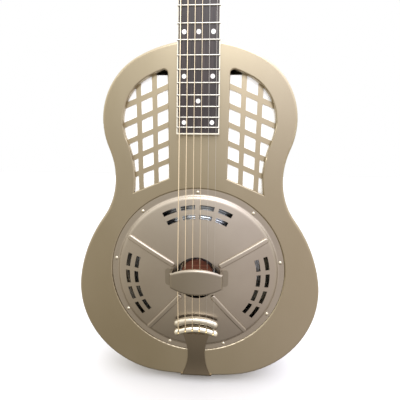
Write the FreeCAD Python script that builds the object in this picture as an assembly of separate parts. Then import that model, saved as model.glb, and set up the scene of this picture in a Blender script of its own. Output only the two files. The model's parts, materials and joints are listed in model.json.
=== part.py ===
"""A metal-bodied resonator guitar with one spun cone and a twelve-fret neck, in millimetres.

+Z runs up the neck, +X is the treble side and the front faces -Y.  The origin is the seat of
the strap button, in the middle of the body's tail end.  Plan shapes are drawn on the plane of
the body's top, and "height" counts from that plane towards the player's hand.
"""
import FreeCAD
import Part
import math
import os
from FreeCAD import Placement, Rotation, Vector

# ---- driving dimensions -------------------------------------------------------------------
SCALE_LENGTH = 635.0
SHEET = 1.0                       # body sheet metal
BODY_DEPTH = 82.0
TOP_Y = -BODY_DEPTH / 2
BACK_Y = BODY_DEPTH / 2
TAIL_PLATE = 1.5                  # tailpiece sheet, between the body and the strap button
BODY_END_Z = TAIL_PLATE
SADDLE_Z = BODY_END_Z + 177.5
FRET12_Z = SADDLE_Z + SCALE_LENGTH / 2

# outline from the tail round to the neck: (radius, turn in degrees), a negative radius is hollow
BODY_ARCS = ((551.5, 5.8), (141.5, 94.9), (222.5, 26.4), (-102.5, 58.7), (94.1, 84.8))
BODY_LENGTH = 500.2
EDGE_ROUND = 4.0
PAN_DEPTH = 9.0                   # how far top and back turn down over the sides
SIDE_GAP = 0.2                    # between the pans' inner corners and the sides

# windows and their lattices
WINDOW_MARGIN = 28.8              # metal left between the window and the outline
WINDOW_X = 41.0
WINDOW_LOW_Z = SADDLE_Z + 144.0   # lower inner corner
WINDOW_SLOPE = 0.42
WINDOW_FLANGE = 5.5
WINDOW_CORNER = 5.0
RIM_ROUND = 1.7                   # the pressed edge of windows and recess
RIM_WIDTH = 2.2
RIM_DEPTH = 3.0
LATTICE_BAR = 6.6
LATTICE_PITCH = 24.6
LATTICE_BARS = 5
LATTICE_UPRIGHTS = (60.0, 82.0)
LATTICE_SHEET = 1.0
CLOTH = 0.4

# cone, its well and the coverplate
WELL_RADIUS = 121.6
RECESS_RADIUS = 129.8
RECESS_DEPTH = 2.0
WELL_DEPTH = 34.0
CONE_RADIUS = 120.6
CONE_SHEET = 0.4
CONE_CROWN = -7.5                 # height of the cone's flat crown
BISCUIT_RADIUS = 24.5
BISCUIT_TOP = 2.5
SADDLE_TOP = 23.6
SADDLE_HALF = 1.6                 # half the blade's thickness
PLATE_RADIUS = 129.2
PLATE_SHEET = 0.9
PLATE_SEAT = -RECESS_DEPTH + PLATE_SHEET
PLATE_HOLE = 32.0
PLATE_TOP = 12.2
# the dome's section by (radius, height over the flange): foot, shoulder, then the dome itself
PLATE_FOOT = ((121.9, 0.0), (120.2, 0.4), (118.8, 1.6))
PLATE_SHOULDER = ((118.8, 1.6), (116.9, 3.1), (114.2, 4.0))
PLATE_MIDDLE = (73.0, 10.3)
PLATE_SCREW_RADIUS = 124.3
PLATE_SCREWS = 9
RIB_WIDTH = 8.0
RIB_HEIGHT = 2.8
RIBS = ((30.0, 37.0), (150.0, 37.0), (230.0, 35.0), (310.0, 35.0))   # angle, inner radius
RIB_OUTER = 117.5
SLOT_GROUPS = (90.0, 190.0, 350.0)
SLOT_ROWS = ((87.4, 93.6), (100.8, 107.0))
SLOTS_PER_ROW = 4
SLOT_PITCH = 15.0
SLOT_WIDTH = 11.4                 # degrees

# hand rest
REST_HALF = 37.5
REST_TOP = 29.0
REST_SIDE = 26.0
REST_SHEET = 1.2
REST_ROUND = 3.8
REST_LIP = 25.2                   # the turned edges stop here, above the strings

# tailpiece
HEAD_ROLL = 5.3
HEAD_CURVE = 68.0
HEAD_HALF = 28.0
HEAD_UPPER = -66.0                # middle of the upper roll, from the saddle
HEAD_LOWER = -80.8
HEAD_HEIGHT = 14.8
TAIL_LEG = 56.0
TAIL_HALF = 25.0                  # half the strap's width at the tail
# half the strap's width, and half its raised spine's, by distance below the saddle
TAIL_FLANK = ((90.0, 21.5), (109.0, 15.8), (136.0, 13.0), (156.0, 15.5), (SADDLE_Z, TAIL_HALF))
SPINE_FLANK = ((92.0, 13.0), (110.0, 9.0), (136.0, 7.2), (156.0, 5.4), (169.0, 3.4))
SPINE_RISE = 1.3
# the strap's underside by (distance below the saddle, height over the top)
TAIL_RISE = ((155.0, 1.3), (128.0, 5.2), (98.0, 8.8), (60.0, 11.3))
TAIL_SCREWS = ((0.0, -24.0), (-13.0, -30.0), (13.0, -30.0))

# neck and board
BOARD = 6.0
NECK_RISE = 8.9                   # board face above the top at the twelfth fret
NECK_FALL = 0.0299                # how much the board face drops for each unit up the neck
NUT_WIDTH = 48.3
BOARD_END_WIDTH = 56.2
BOARD_LENGTH = 431.7
BINDING = 1.5
FRETS = 19
FRET_HEIGHT = 1.1
NUT_LENGTH = 5.0
DOTS = {3: 2, 5: 1, 7: 2, 9: 1, 12: 3, 15: 2, 17: 1, 19: 2}
DOT_RADIUS = 2.9
DOT_SPREAD = 18.2
HEEL_CAP_Y = 34.0
HEEL_CAP = 2.5

# headstock and tuners
HEAD_ANGLE = 14.0
HEAD_LENGTH = 176.0
HEAD_HALF_WIDTH = 30.0
HEAD_THICKNESS = 15.0
OVERLAY = 2.0
SLOT_INNER = 8.0
SLOT_OUTER = 20.5
SLOT_START = 15.0
SLOT_END = 132.0
POST_STATIONS = (38.0, 73.0, 108.0)
POST_DEPTH = 7.5
POST_RADIUS = 3.0
TUNER_PLATE = 1.2
GEAR_TEETH = 16
MODULE = 0.7
GEAR_THICKNESS = 2.2
WORM_PITCH_RADIUS = 2.4
ADDENDUM = 0.45
TOOTH = 0.62                      # tooth thickness on the pitch line, worm and gear alike
SHAFT_RADIUS = 1.6
RUNNING = 0.05                    # radial clearance of a running fit

# strings, bass to treble: diameter, and how they spread
STRINGS = (1.42, 1.07, 0.81, 0.61, 0.41, 0.33)
WOUND = 4
NUT_SPREAD = 37.9
SADDLE_SPREAD = 52.1
BEND_SWELL = 1.01                 # a string's bends are this much thicker than its runs
CREST_LEAN = 8.0                  # where a string's bend over the upper roll stands, in degrees
CREST_REACH = 1.03                # and how far out, for each unit of the roll's own radius

NUT_POINT = 1                     # which of a string's points crosses the nut, and the saddle
SADDLE_POINT = 2

OUT = Vector(0, -1, 0)            # out of the top, towards the hand
IN = Vector(0, 1, 0)
UP = Vector(0, 0, 1)
ACROSS = Vector(1, 0, 0)


# ---- helpers ------------------------------------------------------------------------------
def spot(x, z, height=0.0):
    """A point by its plan place and its height over the top."""
    return Vector(x, TOP_Y - height, z)


def arc(a, b, c):
    return Part.Arc(a, b, c).toShape()


def line(a, b):
    return Part.LineSegment(a, b).toShape()


def chain(*points):
    """The straight edges that join points in turn."""
    return [line(a, b) for a, b in zip(points, points[1:])]


def face_of(points):
    """The flat face inside a closed run of points."""
    return Part.Face(Part.Wire(chain(*points, points[0])))


def through(points):
    """A smooth curve through points."""
    curve = Part.BSplineCurve()
    curve.interpolate(Points=points)
    return curve.toShape()


def polygon(points):
    """The edges of a closed plan polygon of (x, z) points."""
    corners = [spot(x, z) for x, z in points]
    return chain(*corners, corners[0])


def box_plan(x0, x1, z0, z1):
    return polygon(((x0, z0), (x1, z0), (x1, z1), (x0, z1)))


def slab(edges, low, high):
    """A plan outline stretched between two heights."""
    solid = Part.Face(Part.Wire(edges)).extrude(OUT * (high - low))
    solid.translate(OUT * low)
    return solid


def disc(radius, low, high):
    """A round slab about the cone's axis."""
    return Part.makeCylinder(radius, high - low, spot(0, SADDLE_Z, low), OUT)


def ring(outer, inner, low, high):
    return disc(outer, low, high).cut(disc(inner, low - 1, high + 1))


def block(x0, x1, y0, y1, z0, z1):
    return Part.makeBox(x1 - x0, y1 - y0, z1 - z0, Vector(x0, y0, z0))


def rod(start, end, radius):
    """A round bar between two points."""
    run = end - start
    return Part.makeCylinder(radius, run.Length, start, run)


def fuse(shapes):
    return shapes[0].multiFuse(shapes[1:]).removeSplitter()


def flat_edges(solid, y):
    """The edges that lie on the plane at this y."""
    return [e for e in solid.Edges
            if abs(e.BoundBox.YMin - y) < 0.01 and abs(e.BoundBox.YMax - y) < 0.01]


def mirrored(shape):
    return shape.mirror(Vector(0, 0, 0), ACROSS)


def screw(seat, axis, head_radius, shank_radius, length):
    """A dome-headed slotted screw: its head stands out from seat along axis."""
    dome_height = head_radius * 0.5
    ball = (head_radius ** 2 + dome_height ** 2) / (2 * dome_height)
    dome = Part.makeSphere(ball, Vector(0, 0, dome_height - ball))
    head = dome.common(Part.makeCylinder(head_radius, dome_height))
    shank = Part.makeCylinder(shank_radius, length, Vector(0, 0, -length))
    notch = block(-head_radius, head_radius, -0.3, 0.3, dome_height * 0.45, dome_height + 1)
    body = fuse([head, shank]).cut(notch)
    body.Placement = Placement(seat, Rotation(UP, axis))
    return body


# ---- body ---------------------------------------------------------------------------------
def body_outline(inset=0.0):
    """Tangent arcs up the treble side and their mirror image; the last arc closes at the neck."""
    x, z, heading = 0.0, BODY_END_Z + inset, 0.0
    half = []
    for radius, turn in BODY_ARCS:
        side = math.copysign(1.0, radius)
        reach = abs(radius) - side * inset
        cx = x - reach * math.sin(heading) * side
        cz = z + reach * math.cos(heading) * side
        stops = [heading + side * math.radians(turn) * part for part in (0.0, 0.5, 1.0)]
        trio = [spot(cx + reach * math.sin(a) * side, cz - reach * math.cos(a) * side)
                for a in stops]
        half.append(trio)
        x, z, heading = trio[2].x, trio[2].z, stops[2]
    reach = x / math.sin(heading)
    cz = z + reach * math.cos(heading)
    stops = [heading, (heading + math.pi) / 2, math.pi]
    half.append([spot(reach * math.sin(a), cz - reach * math.cos(a)) for a in stops])
    half[-1][2].x = 0.0
    edges = [arc(*trio) for trio in half]
    for trio in reversed(half):
        a, b, c = [Vector(-p.x, p.y, p.z) for p in reversed(trio)]
        edges.append(arc(a, b, c))
    return edges


def pan():
    """The shallow pan that both faces of the body are pressed into, open towards the back."""
    outer = slab(body_outline(), -PAN_DEPTH, 0)
    outer = outer.makeFillet(EDGE_ROUND, flat_edges(outer, TOP_Y))
    inner = slab(body_outline(SHEET), -PAN_DEPTH - 1, -SHEET)
    inner = inner.makeFillet(EDGE_ROUND - SHEET, flat_edges(inner, TOP_Y + SHEET))
    return outer.cut(inner)


def window(grow, low, high):
    """One window's prism on the treble side, its outline moved out by grow."""
    left = WINDOW_X - grow
    right = 150.0
    foot = WINDOW_LOW_Z + WINDOW_SLOPE * grow - grow * math.hypot(1, WINDOW_SLOPE)
    frame = polygon(((left, foot), (left, SADDLE_Z + 330), (right, SADDLE_Z + 330),
                     (right, foot - WINDOW_SLOPE * (right - left))))
    solid = slab(frame, low, high).common(slab(body_outline(WINDOW_MARGIN - grow), low, high))
    posts = [e for e in solid.Edges if e.BoundBox.YLength > high - low - 0.01]
    top = max(e.BoundBox.ZMin for e in posts if e.BoundBox.XMax < left + 1)
    corner = [e for e in posts if e.BoundBox.XMax < left + 1 and e.BoundBox.ZMin > top - 1]
    return solid.makeFillet(WINDOW_CORNER + grow, corner)


def on_rim(edge):
    """True for an edge round a window or round the recess."""
    middle = edge.BoundBox.Center
    if SADDLE_Z + 120 < middle.z < SADDLE_Z + 300:
        return abs(middle.x) < 106 and edge.BoundBox.XLength < 120
    return abs(edge.BoundBox.ZMax - SADDLE_Z - RECESS_RADIUS) < 0.1


def body_top():
    """The face: pan, recess for the coverplate, and two windows with edges turned inwards."""
    floor = -RECESS_DEPTH - SHEET
    face = pan().cut(disc(RECESS_RADIUS, -20, 10))
    flange = fuse([window(SHEET, -WINDOW_FLANGE, -SHEET / 2),
                   window(RIM_WIDTH, -RIM_DEPTH, -SHEET / 2)])
    face = fuse([face, flange, mirrored(flange),
                 ring(RECESS_RADIUS + RIM_WIDTH, RECESS_RADIUS, floor, 0),
                 ring(RECESS_RADIUS + RIM_WIDTH, WELL_RADIUS, floor, -RECESS_DEPTH)])
    hole = window(0, -20, 10)
    face = face.cut(fuse([hole, mirrored(hole)]))
    face = face.makeFillet(RIM_ROUND, [e for e in flat_edges(face, TOP_Y) if on_rim(e)])
    for place in plate_screw_places(-RECESS_DEPTH):
        face = face.cut(Part.makeCylinder(1.65, 8, place - OUT * 5, OUT))
    return face


def body_back():
    """The closed back: the same pan, turned round."""
    return pan().mirror(Vector(0, 0, 0), Vector(0, 1, 0))


def body_sides():
    """The band between the two pans, with the mouth that the neck's stick passes through."""
    low = -BODY_DEPTH + EDGE_ROUND + SIDE_GAP
    high = -EDGE_ROUND - SIDE_GAP
    band = slab(body_outline(SHEET), low, high)
    band = band.cut(slab(body_outline(2 * SHEET), low - 1, high + 1))
    mouth = block(-STICK_HALF, STICK_HALF, STICK_FRONT, STICK_REAR,
                  SADDLE_Z + 300, SADDLE_Z + 330)
    screw_hole = Part.makeCylinder(2.3, 10, Vector(0, 0, -1), UP)
    return band.cut(fuse([mouth, screw_hole]))


def lattice():
    """The pierced sheet behind one window: a rim, two uprights and five slanting bars."""
    low = -WINDOW_FLANGE - LATTICE_SHEET
    high = -WINDOW_FLANGE
    sheet = window(4.5, low, high)
    bars = [sheet.cut(window(0.05, low - 1, high + 1))]
    for x in LATTICE_UPRIGHTS:
        plan = box_plan(x - LATTICE_BAR / 2, x + LATTICE_BAR / 2, WINDOW_LOW_Z - 40, SADDLE_Z + 300)
        bars.append(slab(plan, low, high).common(sheet))
    half = LATTICE_BAR / 2 * math.hypot(1, WINDOW_SLOPE)
    for step in range(1, LATTICE_BARS + 1):
        z = WINDOW_LOW_Z + LATTICE_PITCH * step
        far = z - WINDOW_SLOPE * 80
        near = z + WINDOW_SLOPE * 10
        plan = polygon(((WINDOW_X - 10, near - half), (WINDOW_X + 80, far - half),
                        (WINDOW_X + 80, far + half), (WINDOW_X - 10, near + half)))
        bars.append(slab(plan, low, high).common(sheet))
    return fuse(bars)


def sound_cloths():
    """The pale cloth stretched behind each lattice."""
    back = -WINDOW_FLANGE - LATTICE_SHEET
    cloth = window(4.0, back - CLOTH, back)
    return Part.makeCompound([cloth, mirrored(cloth)])


# ---- cone and coverplate ------------------------------------------------------------------
def plate_screw_places(height):
    """The coverplate's screws stand on one circle, the first at the neck's side."""
    places = []
    for step in range(PLATE_SCREWS):
        a = math.radians(90 - 360 / PLATE_SCREWS * step)
        places.append(spot(PLATE_SCREW_RADIUS * math.cos(a),
                           SADDLE_Z + PLATE_SCREW_RADIUS * math.sin(a), height))
    return places


def turned(edges):
    """A section drawn on the plane x = radius, turned about the cone's axis."""
    return Part.Face(Part.Wire(edges)).revolve(spot(0, SADDLE_Z), OUT, 360)


def section_spot(radius, height):
    return spot(radius, SADDLE_Z, height)


def sound_well():
    """The cup soldered under the top: flange, wall with ports, and the ledge that bears the cone."""
    low = -WELL_DEPTH - SHEET
    flange_top = -RECESS_DEPTH - SHEET
    wall = ring(WELL_RADIUS + SHEET, WELL_RADIUS, low, flange_top)
    flange = ring(RECESS_RADIUS, WELL_RADIUS, flange_top - SHEET, flange_top)
    ledge = ring(WELL_RADIUS + SHEET, WELL_RADIUS - 9, low, -WELL_DEPTH)
    well = fuse([wall, flange, ledge])
    for step in range(12):
        port = block(-13, 13, TOP_Y + 11, TOP_Y + 26, WELL_RADIUS - 4, WELL_RADIUS + 5)
        port.translate(Vector(0, 0, SADDLE_Z))
        port.rotate(Vector(0, 0, SADDLE_Z), Vector(0, 1, 0), 15 + 30 * step)
        well = well.cut(port)
    for place in plate_screw_places(flange_top):
        well = well.cut(Part.makeCylinder(1.55, 6, place - OUT * 3, OUT))
    return well


def cone():
    """The spun cone: a flat rim, a steep foot, long straight flank and a flat crown."""
    rim = -WELL_DEPTH + CONE_SHEET
    run = [(CONE_RADIUS, rim), (CONE_RADIUS - 5, rim), (CONE_RADIUS - 12, rim + 6), (62, -15.5),
           (BISCUIT_RADIUS + 2, CONE_CROWN), (2.2, CONE_CROWN)]
    over = [section_spot(r, h) for r, h in run]
    under = [section_spot(r, h - CONE_SHEET) for r, h in reversed(run)]
    return turned(chain(*over, *under, over[0]))


def biscuit():
    """The wooden disc on the cone's crown, with the groove that holds the saddle."""
    wood = disc(BISCUIT_RADIUS, CONE_CROWN, BISCUIT_TOP)
    wood = wood.makeChamfer(1.2, flat_edges(wood, TOP_Y - BISCUIT_TOP))
    face = TOP_Y - BISCUIT_TOP
    groove = block(-40, 40, face - 1, face + 4, SADDLE_Z - SADDLE_HALF, SADDLE_Z + SADDLE_HALF)
    hole = disc(2.05, CONE_CROWN - 2, BISCUIT_TOP - 4)
    return wood.cut(fuse([groove, hole]))


def biscuit_screw():
    """The small screw that draws the biscuit down on the cone from below."""
    return screw(spot(0, SADDLE_Z, CONE_CROWN - CONE_SHEET), Vector(0, 1, 0), 4.0, 1.9, 5.5)


def saddle():
    """A thin maple blade standing in the biscuit's groove, notched for the strings."""
    foot = BISCUIT_TOP - 4
    flare = foot + 17.5               # its ends slope out to here, clear of the plate's hole
    right = [(24.0, foot), (33.0, flare), (33.0, SADDLE_TOP)]
    outline = [(x, h) for x, h in right] + [(-x, h) for x, h in reversed(right)]
    wood = face_of([spot(x, SADDLE_Z - SADDLE_HALF, h) for x, h in outline])
    wood = wood.extrude(UP * 2 * SADDLE_HALF)
    crest = [e for e in flat_edges(wood, TOP_Y - SADDLE_TOP) if e.BoundBox.XLength > 10]
    wood = wood.makeFillet(1.2, crest)
    return wood.cut(Part.makeCompound([notch(n, SADDLE_POINT) for n in range(len(STRINGS))]))


def dome_points():
    """The section's arcs as (radius, height over the top) points, from the foot to the hole."""
    foot = [(r, PLATE_SEAT + h) for r, h in PLATE_FOOT]
    shoulder = [(r, PLATE_SEAT + h) for r, h in PLATE_SHOULDER]
    middle = (PLATE_MIDDLE[0], PLATE_SEAT + PLATE_MIDDLE[1])
    return foot, shoulder, [shoulder[-1], middle, (PLATE_HOLE, PLATE_TOP)]


def dome_layer(low, high):
    """The layer between two copies of the coverplate's section, moved out by low and high."""
    def run(shift):
        trios = [[section_spot(r, h + shift) for r, h in trio] for trio in dome_points()]
        rim = section_spot(PLATE_RADIUS, PLATE_SEAT + shift)
        return [line(rim, trios[0][0])] + [arc(*trio) for trio in trios]
    ends = [line(section_spot(radius, height + low), section_spot(radius, height + high))
            for radius, height in ((PLATE_HOLE, PLATE_TOP), (PLATE_RADIUS, PLATE_SEAT))]
    return turned(Part.__sortEdges__(run(high) + run(low) + ends))


def rib_track(angle, inner, half):
    """A radial bar with round ends in plan, from its inner radius to the dome's foot."""
    near, far = inner + half, RIB_OUTER - half
    bar = [spot(near, SADDLE_Z - half), spot(far, SADDLE_Z - half), spot(RIB_OUTER, SADDLE_Z),
           spot(far, SADDLE_Z + half), spot(near, SADDLE_Z + half), spot(inner, SADDLE_Z)]
    edges = [line(bar[0], bar[1]), arc(bar[1], bar[2], bar[3]),
             line(bar[3], bar[4]), arc(bar[4], bar[5], bar[0])]
    prism = slab(edges, -10, 30)
    prism.rotate(spot(0, SADDLE_Z), Vector(0, -1, 0), angle)
    return prism


def vent(r0, r1, start, width):
    """A curved slot between two radii, starting at an angle in degrees."""
    a0, a1 = math.radians(start), math.radians(start + width)
    middle = (a0 + a1) / 2

    def at(radius, a):
        return spot(radius * math.cos(a), SADDLE_Z + radius * math.sin(a))
    edges = [arc(at(r0, a0), at(r0, middle), at(r0, a1)), line(at(r0, a1), at(r1, a1)),
             arc(at(r1, a1), at(r1, middle), at(r1, a0)), line(at(r1, a0), at(r0, a0))]
    return slab(edges, -10, 30)


def coverplate():
    """The domed plate: flange, dome, four ribs, three groups of vents, nine screw holes."""
    plate = dome_layer(-PLATE_SHEET, 0)
    raised = dome_layer(-PLATE_SHEET / 2, RIB_HEIGHT)
    for angle, inner in RIBS:
        rib = raised.common(rib_track(angle, inner, RIB_WIDTH / 2))
        crest = [e for e in rib.Edges if on_crest(e)]
        rib = rib.makeFillet(RIB_HEIGHT * 0.8, crest)
        plate = plate.fuse(rib)
    vents = []
    for group in SLOT_GROUPS:
        first = group - SLOT_PITCH * (SLOTS_PER_ROW - 1) / 2 - SLOT_WIDTH / 2
        for r0, r1 in SLOT_ROWS:
            for step in range(SLOTS_PER_ROW):
                vents.append(vent(r0, r1, first + SLOT_PITCH * step, SLOT_WIDTH))
    holes = [Part.makeCylinder(1.65, 8, place - OUT * 4, OUT)
             for place in plate_screw_places(PLATE_SEAT)]
    return plate.cut(Part.makeCompound(vents + holes))


def on_crest(edge):
    """True for a rib's edges at its raised surface, which lie RIB_HEIGHT over the dome."""
    middle = edge.valueAt((edge.FirstParameter + edge.LastParameter) / 2)
    rises = [TOP_Y - p.y - dome_height(math.hypot(p.x, p.z - SADDLE_Z))
             for p in [v.Point for v in edge.Vertexes] + [middle]]
    return min(rises) > RIB_HEIGHT * 0.8


def dome_height(radius):
    """Height of the coverplate's dome at a radius: the arc through its three driving points."""
    a, b, c = dome_points()[-1]
    cross = 2 * (a[0] * (b[1] - c[1]) + b[0] * (c[1] - a[1]) + c[0] * (a[1] - b[1]))
    sa, sb, sc = (p[0] ** 2 + p[1] ** 2 for p in (a, b, c))
    ux = (sa * (b[1] - c[1]) + sb * (c[1] - a[1]) + sc * (a[1] - b[1])) / cross
    uy = (sa * (c[0] - b[0]) + sb * (a[0] - c[0]) + sc * (b[0] - a[0])) / cross
    reach = math.hypot(a[0] - ux, a[1] - uy)
    return uy + math.sqrt(max(reach ** 2 - (radius - ux) ** 2, 0))


def coverplate_screws():
    return Part.makeCompound([screw(place, OUT, 2.6, 1.5, 5.5)
                              for place in plate_screw_places(PLATE_SEAT)])


def rest_block(inset):
    """The hand rest's outer form, or its hollow when inset by the sheet."""
    half = REST_HALF - inset
    side = REST_SIDE - inset
    z = SADDLE_Z - 30
    foot, far_foot = spot(-half, z), spot(half, z)
    bow = arc(spot(half, z, side), spot(0, z, REST_TOP - inset), spot(-half, z, side))
    section = [line(foot, far_foot), line(far_foot, spot(half, z, side)), bow,
               line(spot(-half, z, side), foot)]
    prism = Part.Face(Part.Wire(section)).extrude(UP * 60)
    low, low_bow = SADDLE_Z - 10 + inset, SADDLE_Z - 19.5 + inset
    high, high_bow = SADDLE_Z + 12 - inset, SADDLE_Z + 20 - inset
    plan = [line(spot(-half, high), spot(-half, low)),
            arc(spot(-half, low), spot(0, low_bow), spot(half, low)),
            line(spot(half, low), spot(half, high)),
            arc(spot(half, high), spot(0, high_bow), spot(-half, high))]
    form = prism.common(slab(plan, -10, 40))
    crest = [e for e in form.Edges if e.BoundBox.YMax < TOP_Y - side + 0.01]
    return form.makeFillet(REST_ROUND - inset, crest)


def hand_rest():
    """The bridge cover: a bowed top with turned edges, two legs, and feet soldered to the plate."""
    form = rest_block(0).cut(rest_block(REST_SHEET))
    leg = REST_HALF - 3.5
    passage = block(-leg, leg, TOP_Y - REST_LIP, TOP_Y + 10, SADDLE_Z - 40, SADDLE_Z + 40)
    form = form.cut(passage)
    pad = block(REST_HALF - REST_SHEET, REST_HALF + 8.5, TOP_Y - 40, TOP_Y + 10,
                SADDLE_Z - 12, SADDLE_Z + 14)
    corners = [e for e in pad.Edges if e.BoundBox.YLength > 40 and e.BoundBox.XMin > REST_HALF]
    pad = pad.makeFillet(5.0, corners)
    foot = dome_layer(0, 1.1).common(pad)
    whole = fuse([form, foot, mirrored(foot)])
    return whole.cut(dome_layer(-40, 0))


# ---- tailpiece ----------------------------------------------------------------------------
def head_sag(x):
    """How far the tailpiece's curved head falls back at this distance from the middle."""
    return HEAD_CURVE - math.sqrt(HEAD_CURVE ** 2 - x ** 2)


def head_roll(middle):
    """A round-ended roll bent to the head's curve; middle is its place from the saddle."""
    z = SADDLE_Z + middle
    edge_z = z - head_sag(HEAD_HALF)
    ends = [spot(x, edge_z, HEAD_HEIGHT) for x in (-HEAD_HALF, HEAD_HALF)]
    spine = Part.Wire([arc(ends[0], spot(0, z, HEAD_HEIGHT), ends[1])])
    bow = spine.Edges[0]
    start = bow.valueAt(bow.FirstParameter)
    profile = Part.Circle(start, bow.tangentAt(bow.FirstParameter), HEAD_ROLL)
    roll = spine.makePipeShell([Part.Wire([profile.toShape()])], True, False)
    return fuse([roll] + [Part.makeSphere(HEAD_ROLL, end) for end in ends])


def tail_plan():
    """The tailpiece from the front: wide at the tail, waisted, then flared under the head."""
    z = SADDLE_Z
    half = [spot(x, z - below) for below, x in TAIL_FLANK]
    other = [spot(-x, z - below) for below, x in TAIL_FLANK]
    brow = [spot(21.5, z - 90), spot(30, z - 86), spot(30, z - 71), spot(0, z - 62.6),
            spot(-30, z - 71), spot(-30, z - 86), spot(-21.5, z - 90)]
    head = chain(*brow[:3]) + [arc(*brow[2:5])] + chain(*brow[4:])
    return Part.__sortEdges__(head + [through(half), through(other), line(half[-1], other[-1])])


def tail_side(thickness):
    """The strap from the side: it hugs the body's rounded edge, then climbs to the head."""
    low = [spot(0, BODY_END_Z + EDGE_ROUND)]
    low += [spot(0, SADDLE_Z - below, height) for below, height in TAIL_RISE]
    high = [p + OUT * thickness for p in low]
    edges = [through(low), line(low[-1], high[-1]), through(high), line(low[0], high[0])]
    strip = Part.Face(Part.Wire(Part.__sortEdges__(edges))).extrude(ACROSS * 80)
    strip.translate(ACROSS * -40)
    return strip


def tail_spine():
    """The raised middle of the strap, which narrows towards the tail."""
    half = [spot(x, SADDLE_Z - below) for below, x in SPINE_FLANK]
    other = [spot(-x, SADDLE_Z - below) for below, x in SPINE_FLANK]
    tip = arc(half[-1], spot(0, half[-1].z - SPINE_FLANK[-1][1] * 0.6), other[-1])
    plan = [through(half), tip, through(other), line(other[0], half[0])]
    ridge = tail_side(TAIL_PLATE + SPINE_RISE).common(slab(Part.__sortEdges__(plan), -10, 40))
    return ridge.cut(tail_side(TAIL_PLATE / 2))


def tailpiece():
    """Strap, the leg down the tail end, and the lower roll slotted for the strings' ball ends."""
    strap = tail_side(TAIL_PLATE).common(slab(tail_plan(), -10, 40))
    start = TOP_Y + EDGE_ROUND
    bend_end = Vector(-TAIL_HALF, start, BODY_END_Z + EDGE_ROUND)
    bend = Part.makeCylinder(EDGE_ROUND + TAIL_PLATE, 2 * TAIL_HALF, bend_end, ACROSS)
    bend = bend.cut(Part.makeCylinder(EDGE_ROUND, 2 * TAIL_HALF, bend_end, ACROSS))
    bend = bend.common(block(-30, 30, TOP_Y - 5, start, 0, BODY_END_Z + EDGE_ROUND))
    end = TOP_Y + TAIL_LEG
    corners = [Vector(x, y, 0) for x, y in ((-14, end - 10), (-TAIL_HALF, start),
                                            (TAIL_HALF, start), (14, end - 10))]
    leg_edges = chain(*corners) + [arc(corners[-1], Vector(0, end, 0), corners[0])]
    leg = Part.Face(Part.Wire(leg_edges)).extrude(UP * TAIL_PLATE)
    whole = fuse([strap, tail_spine(), bend, leg, head_roll(HEAD_LOWER)])
    cuts = [Part.makeCylinder(2.05, 10, Vector(0, 0, -4), UP)]
    cuts += [Part.makeCylinder(1.65, 10, Vector(x, y, -4), UP) for x, y in TAIL_SCREWS]
    level = TOP_Y - HEAD_HEIGHT
    for number in range(len(STRINGS)):
        x = string_x(number, SADDLE_SPREAD)
        z = SADDLE_Z + HEAD_LOWER - head_sag(x)
        cuts.append(block(x - 0.9, x + 0.9, TOP_Y - 30, level + 1.2, z - 8, z + 8))
        cuts.append(block(x - 2.2, x + 2.2, level - 2.2, level + 2.2, z - 8, z - 1.2))
    return whole.cut(cuts)


def tailpiece_cover():
    """The upper roll that the strings bear on, seated on the strap."""
    seated = head_roll(HEAD_UPPER).cut(tail_side(TAIL_PLATE))
    return max(seated.Solids, key=lambda solid: solid.Volume).cut(tailpiece())


def tailpiece_screws():
    """Three small screws in the leg, and the long one that holds the strap button to the stick."""
    small = [screw(Vector(x, y, 0), Vector(0, 0, -1), 2.8, 1.6, 1.5) for x, y in TAIL_SCREWS]
    long = screw(Vector(0, 0, -10.0), Vector(0, 0, -1), 3.2, 2.0, 32)
    return Part.makeCompound(small + [long])


def strap_button():
    """A turned button: seat, waist and flared head, bored for its screw."""
    def at(radius, z):
        return Vector(radius, 0, z)
    waist = Part.Arc(at(7.0, -1.5), at(4.2, -5.5), at(7.2, -9.5)).toShape()
    head = Part.Arc(at(7.2, -9.5), at(7.6, -10.8), at(6.8, -12.0)).toShape()
    bore = chain(at(6.8, -12.0), at(3.4, -12.0), at(3.4, -10.0), at(2.05, -10.0), at(2.05, 0))
    seat = chain(at(2.05, 0), at(7.0, 0), at(7.0, -1.5))
    section = Part.Wire(seat + [waist, head] + bore)
    return Part.Face(section).revolve(Vector(0, 0, 0), UP, 360)


# ---- neck ---------------------------------------------------------------------------------
STICK_HALF = 19.0
STICK_FRONT = TOP_Y + WELL_DEPTH + SHEET + 0.5
STICK_REAR = STICK_FRONT + 30.0
TILT = math.degrees(math.atan(NECK_FALL))
TILT_TURN = Rotation(ACROSS, -TILT)
NUT_PLACE = spot(0, FRET12_Z, NECK_RISE) + TILT_TURN.multVec(UP * SCALE_LENGTH / 2)
NECK_FRAME = Placement(NUT_PLACE, TILT_TURN)
HEAD_TURN = Rotation(ACROSS, -HEAD_ANGLE)
HEAD_SEAT = Vector(0, BOARD, NUT_LENGTH) - HEAD_TURN.multVec(Vector(0, OVERLAY, 0))
HEAD_FRAME = NECK_FRAME.multiply(Placement(HEAD_SEAT, HEAD_TURN))


def placed(shape, frame):
    """A copy of a shape drawn in the neck's or the headstock's own frame."""
    copy = shape.copy()
    copy.Placement = frame.multiply(copy.Placement)
    return copy


def board_half(s):
    """Half the board's width at a distance s below the nut."""
    return (NUT_WIDTH + (BOARD_END_WIDTH - NUT_WIDTH) * s / BOARD_LENGTH) / 2


def fret_place(number):
    """Distance from the nut to a fret, in equal temperament."""
    return SCALE_LENGTH * (1 - 2 ** (-number / 12))


def board_prism(inset, y0, y1, start, end):
    """A slice of the board's taper, between two distances below the nut."""
    a, b = board_half(start) - inset, board_half(end) - inset
    face = face_of([Vector(-a, y0, -start), Vector(a, y0, -start),
                    Vector(b, y0, -end), Vector(-b, y0, -end)])
    return face.extrude(Vector(0, y1 - y0, 0))


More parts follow.
